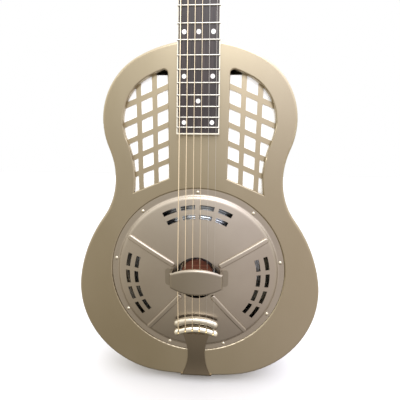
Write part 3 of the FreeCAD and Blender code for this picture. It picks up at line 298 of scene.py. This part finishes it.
# %% [markdown]
# ## Metals
# The body is nickel over sheet metal, rubbed to a satin.  Real scratches would be far too many to
# model, and one plain gloss would look like plastic.  The rubbing runs up the body, so noise drawn
# out along Z stands for it: it tilts the surface a little and makes the gloss uneven.  Slow clouds
# of tone keep the large faces from looking painted.

# %% Body metal
def brushed(name, dark, light, roughness, stretch, depth):
    """Rubbed metal: marks in the stretched places, two tones in slow clouds, uneven gloss."""
    made, tree, shader = finish_of(name, Metallic=1.0)
    clouds = noise(tree, place(tree, (9, 9, 5)))
    marks = noise(tree, place(tree, stretch), detail=4.0)
    feed(tree, shader, Base_Color=run(tree, clouds, (0.35, dark), (0.65, light)),
         Roughness=level(tree, marks, 0.3, 0.7, roughness - 0.05, roughness + 0.06),
         Normal=bump(tree, marks, depth))
    return made


UP_THE_BODY = (1700, 900, 22)
RUBBING = 6e-6
body_metal = brushed("body_metal", (0.415, 0.355, 0.250), (0.450, 0.390, 0.285), 0.34,
                     UP_THE_BODY, RUBBING)
grille_metal = brushed("grille_metal", (0.46, 0.39, 0.27), (0.49, 0.42, 0.30), 0.36,
                       UP_THE_BODY, RUBBING)
print("rubbed metals:", body_metal.name, grille_metal.name)

# %% [markdown]
# The coverplate and the cone were finished on a lathe, so their marks are rings.  A ring texture
# would repeat evenly.  Instead the distance from the cone's axis drives a one-way noise: every
# point at the same distance gets the same mark, and no two rings are alike.

# %% Coverplate and cone metal
def ring_marks(tree, density):
    """Noise that depends on the distance from the cone's axis and hardly on anything else."""
    spot = place(tree, (1, 0, 1), (0, 0, SADDLE_Z))
    away = add(tree, "VectorMath", {0: spot}, operation="LENGTH").outputs["Value"]
    along = arithmetic(tree, "MULTIPLY", away, density)
    return add(tree, "TexNoise", {"W": along, "Scale": 1.0, "Detail": 4.0},
               noise_dimensions="1D").outputs[0]


def spun(name, dark, light, roughness, density, depth):
    """Metal finished on a lathe about the cone's axis."""
    made, tree, shader = finish_of(name, Metallic=1.0)
    rings = ring_marks(tree, density)
    clouds = noise(tree, place(tree, (14, 14, 14)))
    feed(tree, shader, Base_Color=run(tree, clouds, (0.35, dark), (0.65, light)),
         Roughness=level(tree, rings, 0.3, 0.7, roughness - 0.04, roughness + 0.05),
         Normal=bump(tree, rings, depth))
    return made


plate_metal = spun("plate_metal", (0.43, 0.38, 0.32), (0.47, 0.42, 0.355), 0.36, 700.0, 5e-6)
cone_aluminium = spun("cone_aluminium", (0.60, 0.66, 0.74), (0.78, 0.82, 0.88), 0.22, 420.0,
                      1.2e-5)
print("spun metals:", plate_metal.name, cone_aluminium.name)

# %% [markdown]
# The hand rest is rubbed across, along its own length.  The tailpiece is one folded sheet with two
# finishes: a brownish strap, and rolls polished and painted much lighter, a painted highlight.  It
# could be cut in two, but the rolls stand higher than the strap, so the height in front of the top
# chooses the finish.  Frets, gears, strings and screws are small, and differ mostly in colour and gloss.

# %% Hand rest, tailpiece and small bright parts
ACROSS = (60, 900, 900)
rest_metal = brushed("rest_metal", (0.33, 0.29, 0.235), (0.37, 0.33, 0.27), 0.33, ACROSS, 4e-6)
CROWN_HEIGHT, CROWN_EDGE = 13.4 * MM, 0.4 * MM


def tailpiece_metal():
    """A brownish rubbed strap; its roll, above the crown line, is glossier with a painted highlight."""
    made, tree, shader = finish_of("tailpiece_metal", Metallic=1.0)
    marks = noise(tree, place(tree, (1500, 900, 30)), detail=4.0)
    crown = TOP_Y - CROWN_HEIGHT
    roll = level(tree, axis_of(tree, place(tree), "Y"), crown, crown + CROWN_EDGE, 1.0, 0.0)
    # The roll's light colour is a painted highlight, chosen by height above the crown line.
    strap, roll_highlight = (0.27, 0.225, 0.17), (0.80, 0.75, 0.64)
    feed(tree, shader, Base_Color=run(tree, roll, (0.0, strap), (1.0, roll_highlight)),
         Roughness=level(tree, roll, 0, 1, 0.33, 0.2), Normal=bump(tree, marks, 4e-6))
    return made


WEAR = 0.08


def polished(name, colour, roughness):
    """Bright metal with a faint uneven bloom from handling, duller by WEAR where it is worn."""
    made, tree, shader = finish_of(name, Base_Color=colour, Metallic=1.0)
    bloom = noise(tree, place(tree, (260, 260, 260)), detail=4.0)
    feed(tree, shader, Roughness=level(tree, bloom, 0.3, 0.75, roughness, roughness + WEAR),
         Normal=bump(tree, bloom, 6e-6))
    return made


strap_metal = tailpiece_metal()
bright_metal = polished("bright_metal", (0.60, 0.55, 0.45), 0.30)
fret_metal = polished("fret_metal", (0.56, 0.54, 0.50), 0.22)
rod_steel = polished("rod_steel", (0.45, 0.45, 0.46), 0.35)
gear_brass = polished("gear_brass", (0.78, 0.60, 0.28), 0.22)
plain_steel = polished("plain_steel", (0.62, 0.60, 0.56), 0.3)
bronze = polished("bronze_winding", (0.96, 0.83, 0.62), 0.42)
print("small metals:", ", ".join(m.name for m in (bright_metal, fret_metal, rod_steel, gear_brass,
                                                  plain_steel, bronze)))

# %% [markdown]
# ## Woods
# The neck is mahogany, the board a dark hardwood, the biscuit a reddish wood, and one slot is
# maple.  Grain could be rings cut through a trunk, but at this size only streaks show: noise
# drawn out along the grain, with a second, finer noise for the open pores.  A thin clear coat gives
# the lacquered neck its sharper shine.

# %% Woods
def wood(name, tones, stretch, pore_depth, roughness, coat=0.0):
    """Streaks from stretched noise run through three tones; finer streaks are the pores."""
    made, tree, shader = finish_of(name, Roughness=roughness, Coat_Weight=coat, Coat_Roughness=0.12)
    grain = noise(tree, place(tree, stretch), detail=6.0)
    pores = noise(tree, place(tree, tuple(4 * s for s in stretch)), detail=2.0)
    dark, middle, light = tones
    feed(tree, shader, Base_Color=run(tree, grain, (0.32, dark), (0.5, middle), (0.7, light)),
         Normal=bump(tree, pores, pore_depth))
    return made


ALONG_NECK = (420, 420, 9)
neck_wood = wood("neck_wood",
                 ((0.075, 0.022, 0.012), (0.12, 0.038, 0.020), (0.17, 0.06, 0.03)),
                 ALONG_NECK, 2e-5, 0.38, coat=0.6)
board_wood = wood("board_wood",
                  ((0.010, 0.006, 0.007), (0.020, 0.013, 0.014), (0.045, 0.028, 0.027)),
                  (520, 520, 11), 4e-5, 0.42)
maple = wood("maple", ((0.42, 0.27, 0.13), (0.55, 0.38, 0.20), (0.64, 0.47, 0.27)),
             (14, 500, 500), 1e-5, 0.45)
biscuit_wood = wood("biscuit_wood",
                    ((0.10, 0.035, 0.022), (0.16, 0.055, 0.034), (0.22, 0.085, 0.055)),
                    (18, 400, 400), 2e-5, 0.36, coat=0.3)
print("woods:", ", ".join(m.name for m in (neck_wood, board_wood, maple, biscuit_wood)))

# %% [markdown]
# ## Bone, binding, buttons, veneer and pearl
# The nut is bone, the binding and the buttons are cream plastic, and the headstock's face is black
# veneer.  All are close and smooth, so one recipe does: a tone that drifts a little and a shine.
# Pearl dots are shell, whose colour changes from patch to patch.  Cells of a Voronoi pattern make
# such patches, which noise alone would blur.

# %% Bone, pearl, binding, buttons, veneer
DRIFT = (90.0, 90.0, 90.0 / 4)


def moulded(name, low, high, roughness, coat=0.0):
    """A close material whose tone drifts a little: bone, cream plastic or black veneer."""
    made, tree, shader = finish_of(name, Roughness=roughness, Coat_Weight=coat, Coat_Roughness=0.08)
    drift = noise(tree, place(tree, DRIFT), detail=5.0)
    feed(tree, shader, Base_Color=run(tree, drift, (0.35, low), (0.65, high)),
         Normal=bump(tree, drift, 1e-5))
    return made


bone = moulded("bone", (0.66, 0.61, 0.48), (0.74, 0.69, 0.57), 0.35)
binding = moulded("binding", (0.68, 0.64, 0.52), (0.75, 0.71, 0.60), 0.3, coat=0.3)
button_plastic = moulded("button_plastic", (0.74, 0.66, 0.46), (0.86, 0.80, 0.62), 0.24,
                         coat=0.5)
veneer = moulded("veneer", (0.010, 0.009, 0.009), (0.020, 0.018, 0.017), 0.22, coat=0.6)


def pearl_finish():
    """Shell: small patches that lean towards pink, green or plain white under a clear coat."""
    made, tree, shader = finish_of("pearl", Roughness=0.22, Coat_Weight=0.5, Coat_Roughness=0.05)
    cells = {"Vector": place(tree, (420, 420, 260)), "Scale": 1.0}
    tone = axis_of(tree, add(tree, "TexVoronoi", cells).outputs["Color"], "X")
    green, white, pink = (0.66, 0.72, 0.68), (0.78, 0.78, 0.76), (0.76, 0.68, 0.70)
    feed(tree, shader, Base_Color=run(tree, tone, (0.0, green), (0.5, white), (1.0, pink)))
    return made


pearl = pearl_finish()
print("close materials:", ", ".join(m.name for m in (bone, binding, button_plastic, veneer, pearl)))

# %% [markdown]
# ## Cloth finish
# Sound cloth is a plain weave of pale thread.  Threads 0.7 mm apart are too many to model, so two
# sets of bands, one across and one along, are laid over each other, and the higher of the two at
# each place is the thread that lies on top.

# %% Sound cloth finish
THREAD = 0.7 * MM
WAVE_SCALE = 0.31                     # a wave repeats each 0.314 of its unit: one band a thread


def cloth_finish():
    """Plain weave: bands across and bands along, the higher of the two at each place."""
    made, tree, shader = finish_of("sound_cloth", Roughness=0.95, Sheen_Weight=0.25)
    bands = {"Vector": place(tree, (1 / THREAD, 1 / THREAD, 1 / THREAD)), "Scale": WAVE_SCALE}
    weft = add(tree, "TexWave", bands, bands_direction="X").outputs[1]
    warp = add(tree, "TexWave", bands, bands_direction="Z").outputs[1]
    woven = arithmetic(tree, "MAXIMUM", weft, warp)
    low, high = (0.84, 0.84, 0.82), (0.96, 0.96, 0.95)
    feed(tree, shader, Base_Color=run(tree, woven, (0.0, low), (0.6, high)),
         Normal=bump(tree, woven, 5e-5, 0.5))
    return made


sound_cloth = cloth_finish()
print("cloth finish:", sound_cloth.name)

# %% [markdown]
# ## Finishes on the frame's own parts
# Each part of the frame needs its finish.  A list of all parts would be long and would miss a new
# one.  The record already says which slot each node belongs to, so one table of slots covers all
# of them.  A few nodes share a slot but were finished differently, and they are named one by one.

# %% Dress the frame
SLOT_FINISH = {
    "body_metal": body_metal, "plate_metal": plate_metal, "bright_metal": bright_metal,
    "sound_cloth": sound_cloth, "cone_aluminium": cone_aluminium, "biscuit_wood": biscuit_wood,
    "maple": maple, "neck_wood": neck_wood, "board_wood": board_wood, "binding": binding,
    "fret_metal": fret_metal, "pearl": pearl, "bone": bone, "veneer": veneer,
    "rod_steel": rod_steel, "wound_string": bronze, "plain_string": plain_steel,
    "gear_brass": gear_brass, "button_plastic": button_plastic,
}
OWN_FINISH = {"hand_rest": rest_metal, "tailpiece": strap_metal, "grille_left": grille_metal,
              "grille_right": grille_metal}
for part in frame["record"]["subparts"]:
    node = nodes[part["node"]]
    node.data.materials.clear()
    node.data.materials.append(OWN_FINISH.get(part["node"], SLOT_FINISH[part["material_slot"]]))
print("slots:", len(SLOT_FINISH), "parts with their own finish:", len(OWN_FINISH))

# %% [markdown]
# ## Sound cloths
# Behind each lattice a pale cloth is stretched and glued by its edge.  Its outline is the window's,
# a little larger: a straight inner edge, a sloping foot, and an outer edge that runs beside the
# body's own outline.  The outline could be copied point by point, but the body has a maker's few
# tangent arcs, so it is worked out from the same ones.  These arcs stop short of the neck, so the
# cloth's top runs level from there and leaves the window's top inner corner open.

# %% Body outline
OUTLINE_ARCS = ((551.5, 5.8), (141.5, 94.9), (222.5, 26.4), (-102.5, 58.7), (94.1, 84.8))
TAIL_Z = 1.5 * MM


def treble_outline(inset, steps=60):
    """Points (x, z) of the outline moved in by inset.

    Each arc is centre + side * reach * (sin a, -cos a), where side is -1 for a hollow one."""
    x, z, heading = 0.0, TAIL_Z + inset, 0.0
    pieces = []
    for radius, turn in OUTLINE_ARCS:
        side = math.copysign(1.0, radius)
        reach = abs(radius) * MM - side * inset
        cx, cz = x - reach * math.sin(heading) * side, z + reach * math.cos(heading) * side
        a = heading + side * math.radians(turn) * np.linspace(0, 1, steps)
        arc = (cx + reach * np.sin(a) * side, cz - reach * np.cos(a) * side)
        pieces.append(np.stack(arc, axis=1))
        (x, z), heading = pieces[-1][-1], a[-1]
    return np.concatenate(pieces)


print("outline's widest x:", round(float(treble_outline(0.0)[:, 0].max()), 4))

# %% [markdown]
# Each row of the cloth leads from the straight inner edge to the outer curve, in quads that get
# finer where the two come close.  A flat sheet would be dead, and a loose one would sag: stretched
# cloth gives by a hair in its middle, a sine bulge both ways.

# %% Cloth behind each lattice
CLOTH_SPREAD = 4 * MM                 # glued margin round the window
CLOTH_MARGIN = 24.8 * MM              # from the cloth's outer edge to the body's outline
CLOTH_END = 0.998
CLOTH_GIVE = 0.12 * MM
WINDOW_SLOPE, WINDOW_INNER_X = 0.42, 41.0 * MM
WINDOW_FOOT_ABOVE_SADDLE = 144 * MM
UPPER_BODY_FROM = 60 * MM             # above the saddle: no cloth reaches lower
cloth_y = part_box("sound_cloths")[0].y + 0.15 * MM


def cloth_sheet(side, rows=60, columns=44):
    """Rows lead from the straight inner edge to the outer curve; the middle gives by a hair."""
    inner_x = WINDOW_INNER_X - CLOTH_SPREAD
    foot_z = (SADDLE_Z + WINDOW_FOOT_ABOVE_SADDLE + WINDOW_SLOPE * CLOTH_SPREAD
              - CLOTH_SPREAD * math.hypot(1, WINDOW_SLOPE))
    edge = treble_outline(CLOTH_MARGIN)
    inside = (edge[:, 0] > inner_x) & (edge[:, 1] > foot_z - WINDOW_SLOPE * (edge[:, 0] - inner_x))
    edge = edge[inside & (edge[:, 1] > SADDLE_Z + UPPER_BODY_FROM)]
    along = np.concatenate([[0], np.cumsum(np.hypot(*np.diff(edge, axis=0).T))])
    v = np.linspace(0, CLOTH_END, rows)
    outer = np.stack([np.interp(v * along[-1], along, edge[:, k]) for k in (0, 1)], axis=1)
    inner = np.stack([np.full(rows, inner_x), foot_z + v * (edge[-1, 1] - foot_z)], axis=1)
    u = np.linspace(0, 1, columns)[None, :, None]
    flat = inner[:, None] * (1 - u) + outer[:, None] * u
    give = CLOTH_GIVE * np.sin(math.pi * u[..., 0]) * np.sin(math.pi * v / CLOTH_END)[:, None]
    points = np.stack([side * flat[..., 0], cloth_y + give, flat[..., 1]], axis=2)
    faces = grid_faces(rows, columns)
    return points, faces if side > 0 else faces[:, ::-1]


for side, label in ((-1, "left"), (1, "right")):
    points, faces = cloth_sheet(side)
    cloth = mesh_piece(f"sound_cloth_{label}", points, faces, sound_cloth)
    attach(cloth, ROOT)
    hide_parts("sound_cloths")

# %% [markdown]
# ## Spun cone
# The cone is thin aluminium, spun over a form on a lathe, and the tool leaves shallow ridges all
# the way down its flank.  One line turned about the axis and then thickened would do, but a closed
# section, upper line out and lower line back, gives the shell its real thickness and no open edge.

# %% Turning a section
def turned(section, centre, spokes):
    """A closed section of (radius, height) turned about the -Y axis: x = r cos a, z = r sin a."""
    a = np.linspace(0, 2 * math.pi, spokes, endpoint=False)[:, None]
    radius, height = section[None, :, 0], section[None, :, 1]
    points = np.stack([centre[0] + radius * np.cos(a), centre[1] - height + 0 * a,
                       centre[2] + radius * np.sin(a)], axis=2)
    return points, grid_faces(spokes, len(section), True, True)


# %% Cone
CONE_SHEET = 0.4 * MM
CONE_LINE = np.array([(2.2, -7.5), (26.5, -7.5), (62.0, -15.5), (108.6, -27.6),
                      (115.6, -33.6), (120.6, -33.6)]) * MM
RIDGE_DEPTH, RIDGE_PITCH = 0.16 * MM, 3.2 * MM
FLANK_FROM, FLANK_TO, FLANK_FADE = 28 * MM, 107 * MM, 4 * MM
SPOKES = 180


def cone_section(samples=210):
    """The cone's line, lowered by depth * (1 - cos(2 pi radius / pitch)) on the flank only."""
    radius = np.linspace(CONE_LINE[0, 0], CONE_LINE[-1, 0], samples)
    height = np.interp(radius, CONE_LINE[:, 0], CONE_LINE[:, 1])
    flank = (np.clip((radius - FLANK_FROM) / FLANK_FADE, 0, 1)
             * np.clip((FLANK_TO - radius) / FLANK_FADE, 0, 1))
    ridge = RIDGE_DEPTH * flank * (np.cos(2 * math.pi * radius / RIDGE_PITCH) - 1)
    upper = np.stack([radius, height + ridge], axis=1)
    lower = upper - [0, CONE_SHEET]
    return np.concatenate([upper, lower[::-1]])


points, faces = turned(cone_section(), (0.0, TOP_Y, SADDLE_Z), SPOKES)
cone = mesh_piece("spun_cone", points, faces, cone_aluminium)
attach(cone, ROOT)
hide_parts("cone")
print("cone faces:", len(faces))

# %% [markdown]
# ## Strings
# Four strings are steel wound with bronze and two are plain.  A winding could be a wire of its own
# round a core, but that is a very long wire.  Here each string is one tube carried along its line:
# over the nut and saddle, over the tailpiece's upper roll and down to its ball end.  On a wound
# string the tube's radius rises and falls as a helix, which is how the winding looks up close.
# The neck leans back from the body and the headstock leans back from the neck, so places on them
# are measured in leaning frames.

# %% Leaning frames of the neck and headstock
BOARD, NUT_LENGTH, OVERLAY = 6.0 * MM, 5.0 * MM, 2.0 * MM
SCALE = 635.0 * MM
NECK_RISE, NECK_FALL, HEAD_ANGLE = 8.9 * MM, 0.0299, math.radians(14)
NECK_LEAN = math.atan(NECK_FALL)


def leaning(origin, lean):
    """A function from (x, depth, along) to points, for a frame leaned back by an angle about X."""
    deep = np.array([0, math.cos(lean), -math.sin(lean)])
    high = np.array([0, math.sin(lean), math.cos(lean)])
    sideways = np.array([1, 0, 0])
    return lambda x, depth, along: np.array(origin) + x * sideways + depth * deep + along * high


octave = leaning((0, TOP_Y - NECK_RISE, SADDLE_Z + SCALE / 2), NECK_LEAN)
neck = leaning(octave(0, 0, SCALE / 2), NECK_LEAN)
head_start = neck(0, BOARD - OVERLAY * math.cos(HEAD_ANGLE),
                  NUT_LENGTH + OVERLAY * math.sin(HEAD_ANGLE))
head = leaning(head_start, NECK_LEAN + HEAD_ANGLE)
print("nut at", np.round(neck(0, 0, 0), 4).tolist())
print("headstock from", np.round(head_start, 4).tolist())

# %% Where each string runs
STRINGS = (1.42, 1.07, 0.81, 0.61, 0.41, 0.33)     # diameters in mm, bass to treble
WOUND = 4
NUT_SPREAD, SADDLE_SPREAD = 37.9 * MM, 52.1 * MM
POST_STATIONS = (38 * MM, 73 * MM, 108 * MM)
POST_DEPTH, POST_RADIUS = 7.5 * MM, 3.0 * MM
ROLL_HEIGHT, ROLL_RADIUS, ROLL_CURVE = 14.8 * MM, 5.3 * MM, 68.0 * MM
UPPER_ROLL, LOWER_ROLL = 66.0 * MM, 80.8 * MM
CREST_LEAN, CREST_REACH = math.radians(8), 1.03
STRING_ABOVE_BOARD, SADDLE_HEIGHT = 1.55 * MM, 23.3 * MM
POST_CLEARANCE, POCKET_DEPTH = 0.3 * MM, 3.4 * MM


def across(number, spread):
    """How far a string lies from the middle, when the outer two are spread apart."""
    return spread * (number / (len(STRINGS) - 1) - 0.5)


def string_place(number):
    """The side and rank of a string's post, and where along the post it starts to wind."""
    side = -1 if number < 3 else 1
    rank = number if number < 3 else len(STRINGS) - 1 - number
    return side, rank, side * (17.2 - 2.0 * rank) * MM


def string_points(number):
    """Corners of a string's line: post, nut, saddle, crest of the upper roll, ball-end pocket."""
    r = STRINGS[number] / 2 * MM
    _, rank, wrap_x = string_place(number)
    x = across(number, SADDLE_SPREAD)
    sag = ROLL_CURVE - math.sqrt(ROLL_CURVE ** 2 - x ** 2)
    reach = (ROLL_RADIUS + r) * CREST_REACH
    return np.array([
        head(wrap_x, POST_DEPTH - POST_RADIUS - r - POST_CLEARANCE, POST_STATIONS[rank]),
        neck(across(number, NUT_SPREAD), -STRING_ABOVE_BOARD - r, NUT_LENGTH / 2),
        (x, TOP_Y - SADDLE_HEIGHT - r, SADDLE_Z),
        (x, TOP_Y - ROLL_HEIGHT - reach * math.cos(CREST_LEAN),
         SADDLE_Z - UPPER_ROLL - sag - reach * math.sin(CREST_LEAN)),
        (x, TOP_Y - ROLL_HEIGHT, SADDLE_Z - LOWER_ROLL - sag - POCKET_DEPTH)])


print("bass string's corners:", np.round(string_points(0), 4).tolist())

# %% [markdown]
# A string bends at the nut and over the roll without a sharp corner, because its metal is stiff.
# A curve object could ease it, but its rings can twist.  So points are laid along the straight
# runs, each is replaced by the mean of its neighbours, and rings stand square to the eased line.

# %% Tube along a line
def sampled(corners, step, ease=1.2 * MM):
    """Points a step apart along straight runs, with each corner eased by a running mean."""
    along = np.concatenate([[0], np.cumsum(np.linalg.norm(np.diff(corners, axis=0), axis=1))])
    stops = np.linspace(0, along[-1], int(along[-1] / step))
    points = np.stack([np.interp(stops, along, corners[:, k]) for k in range(3)], axis=1)
    half = max(int(ease / step), 1)
    padded = np.concatenate([points[:1].repeat(half, 0), points, points[-1:].repeat(half, 0)])
    window = np.ones(2 * half + 1) / (2 * half + 1)
    eased = np.stack([np.convolve(padded[:, k], window, "valid") for k in range(3)], axis=1)
    eased[0], eased[-1] = points[0], points[-1]
    return eased


def tube(points, radius, pitch=None, depth=0.0, sides=8):
    """A closed tube: point + radius * (cos t * u + sin t * v), with u and v square to the line.

    With a pitch, radius is less by depth * (1 - cos(2 pi s / pitch - t)) / 2, a helical ridge."""
    run_of = np.gradient(points, axis=0)
    run_of /= np.linalg.norm(run_of, axis=1)[:, None]
    u = np.cross(run_of, [1, 0, 0])
    u /= np.linalg.norm(u, axis=1)[:, None]
    v = np.cross(run_of, u)
    t = np.linspace(0, 2 * math.pi, sides, endpoint=False)[None, :]
    size = np.full((len(points), sides), radius)
    if pitch:
        steps = np.linalg.norm(np.diff(points, axis=0), axis=1)
        s = np.concatenate([[0], np.cumsum(steps)])[:, None]
        size = size - depth * (1 - np.cos(2 * math.pi * s / pitch - t)) / 2
    outward = np.cos(t)[..., None] * u[:, None] + np.sin(t)[..., None] * v[:, None]
    rings = points[:, None] + size[..., None] * outward
    count = len(points)
    faces = grid_faces(count, sides, close_columns=True).tolist()
    faces += [list(range(sides))[::-1], list(range((count - 1) * sides, count * sides))]
    return rings.reshape(-1, 3), faces


def winding(number):
    """Pitch, depth and sampling step: a thin string has a finer pitch, and a plain one none."""
    if number >= WOUND:
        return None, 0.0, 1.5 * MM
    pitch = (0.95 - 0.12 * number) * MM
    return pitch, STRINGS[number] * 0.10 * MM, pitch / 3


for number in range(WOUND):
    print(f"winding {number + 1}: pitch {winding(number)[0] * 1000:.2f} mm")

# %% [markdown]
# A ball end is a small brass barrel with a groove, which the string's loop lies in.  It could be
# turned from a finely rounded section, but it is only a few millimetres across.  So its radius
# along its length is a short list of shares of the full radius, and a flat face closes each end.

# %% Strings and ball ends
BALL_RADIUS, BALL_LENGTH = 1.85 * MM, 3.7 * MM


def barrel(centre, radius, length, sides=20):
    """A grooved barrel lying across the instrument: y = r share cos t, z = r share sin t."""
    share = np.array([0.72, 0.95, 1.0, 0.82, 1.0, 0.95, 0.72])
    step = np.array([-1.0, -0.8, -0.45, 0.0, 0.45, 0.8, 1.0]) * length / 2
    t = np.linspace(0, 2 * math.pi, sides, endpoint=False)[None, :]
    rings = share[:, None] * radius
    points = np.stack([centre[0] + step[:, None] + 0 * t, centre[1] + rings * np.cos(t),
                       centre[2] + rings * np.sin(t)], axis=2).reshape(-1, 3)
    count = len(share)
    faces = grid_faces(count, sides, close_columns=True)[:, ::-1].tolist()
    faces += [list(range(sides)), list(range((count - 1) * sides, count * sides))[::-1]]
    return points, faces


def add_riding(name, shape, material, body):
    """A piece from (points, faces) with the given material, which rides on a body."""
    made = mesh_piece(name, *shape, material)
    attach(made, body)
    return made


for number, diameter in enumerate(STRINGS):
    wound = number < WOUND
    slot, node = ("wound_string", "wound_strings") if wound else ("plain_string", "plain_strings")
    pitch, depth, step = winding(number)
    points = sampled(string_points(number), step)
    string = add_riding(f"string_{number + 1}", tube(points, diameter / 2 * MM, pitch, depth),
                        bronze if wound else plain_steel, ROOT)
    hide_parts(node)
    add_riding(f"ball_end_{number + 1}", barrel(points[-1], BALL_RADIUS, BALL_LENGTH), gear_brass,
               ROOT)
    print(f"string {number + 1}: {len(string.data.polygons)} faces")

# %% [markdown]
# The string's last turns lie side by side on its post and turn with it when the button is turned.
# Rings could stand for them, but real turns are one line.  So they are the same tube, carried along
# a helix about the post's own axis, which the joint gives, and then in through the post's hole.
# The string itself stays with the instrument, because a rigid piece can't wind on.

# %% Turns on the posts
joints = {joint["name"]: joint for joint in frame["joints"]}
head_out = head(0, -1, 0) - head(0, 0, 0)
head_up = head(0, 0, 1) - head(0, 0, 0)
HOLE_X = 14.25 * MM
ENTRY_POINTS = 8


def turns_on_post(number):
    """Helix from where the string meets the post to the post's hole, then in through the hole."""
    r = STRINGS[number] / 2 * MM
    side, _, wrap_x = string_place(number)
    centre = np.array(joints[f"post_turn_{number + 1}"]["pos_m"])
    shift = side * HOLE_X - wrap_x
    turns = max(round(abs(shift) / (2.1 * r)), 1)
    angle = np.linspace(0, 2 * math.pi * turns, 40 * turns)[:, None]
    reach = POST_RADIUS + r
    centre_line = np.array([wrap_x, centre[1], centre[2]]) + shift * angle / angle[-1] * [1, 0, 0]
    helix = centre_line + reach * (np.cos(angle) * head_out + np.sin(angle) * head_up)
    inward = np.linspace(0, 1, ENTRY_POINTS)[1:, None]
    entry = helix[-1] + inward * (head_up * 0.3 * MM - head_out * reach * 0.7)
    return np.concatenate([helix, entry])


for number, diameter in enumerate(STRINGS):
    wound = number < WOUND
    line = turns_on_post(number)
    add_riding(f"string_turns_{number + 1}", tube(line, diameter / 2 * MM, sides=12),
               bronze if wound else plain_steel, f"string_post_{number + 1}")

# %% [markdown]
# ## Black line beside the binding
# A thin black strip is let in along each edge of the board, just inside the cream binding.  It
# could be a line in the board's finish, but it runs along the taper, which no pattern follows.  So
# it is a long flat bar that stands a hair proud of the wood.

# %% Purfling
BOARD_LENGTH = 431.7 * MM
BINDING_WIDTH, LINE_WIDTH = 1.5 * MM, 0.7 * MM
LINE_PROUD, LINE_SUNK = 0.06 * MM, 0.3 * MM


def half_width(node):
    """Half of a node's width across the neck."""
    low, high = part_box(node)
    return (high.x - low.x) / 2


def purfling(side):
    """Eight corners of a tapered bar: edge distances from the board's half width at each end."""
    rows = []
    for along, half in ((0.0, half_width("nut")),
                        (-BOARD_LENGTH + BINDING_WIDTH, half_width("fretboard_binding"))):
        outer = side * (half - BINDING_WIDTH)
        inner = outer - side * LINE_WIDTH
        rows += [neck(x, depth, along) for x, depth in ((outer, -LINE_PROUD), (inner, -LINE_PROUD),
                                                        (inner, LINE_SUNK), (outer, LINE_SUNK))]
    faces = [(0, 1, 2, 3), (7, 6, 5, 4), (0, 4, 5, 1), (1, 5, 6, 2), (2, 6, 7, 3), (3, 7, 4, 0)]
    return np.array(rows), faces if side < 0 else [face[::-1] for face in faces]


for side, label in ((-1, "left"), (1, "right")):
    add_riding(f"purfling_{label}", purfling(side), veneer, ROOT).data.shade_flat()
for node in ("nut", "fretboard_binding"):
    print(f"board's width at the {node}: {half_width(node) * 2000:.1f} mm")
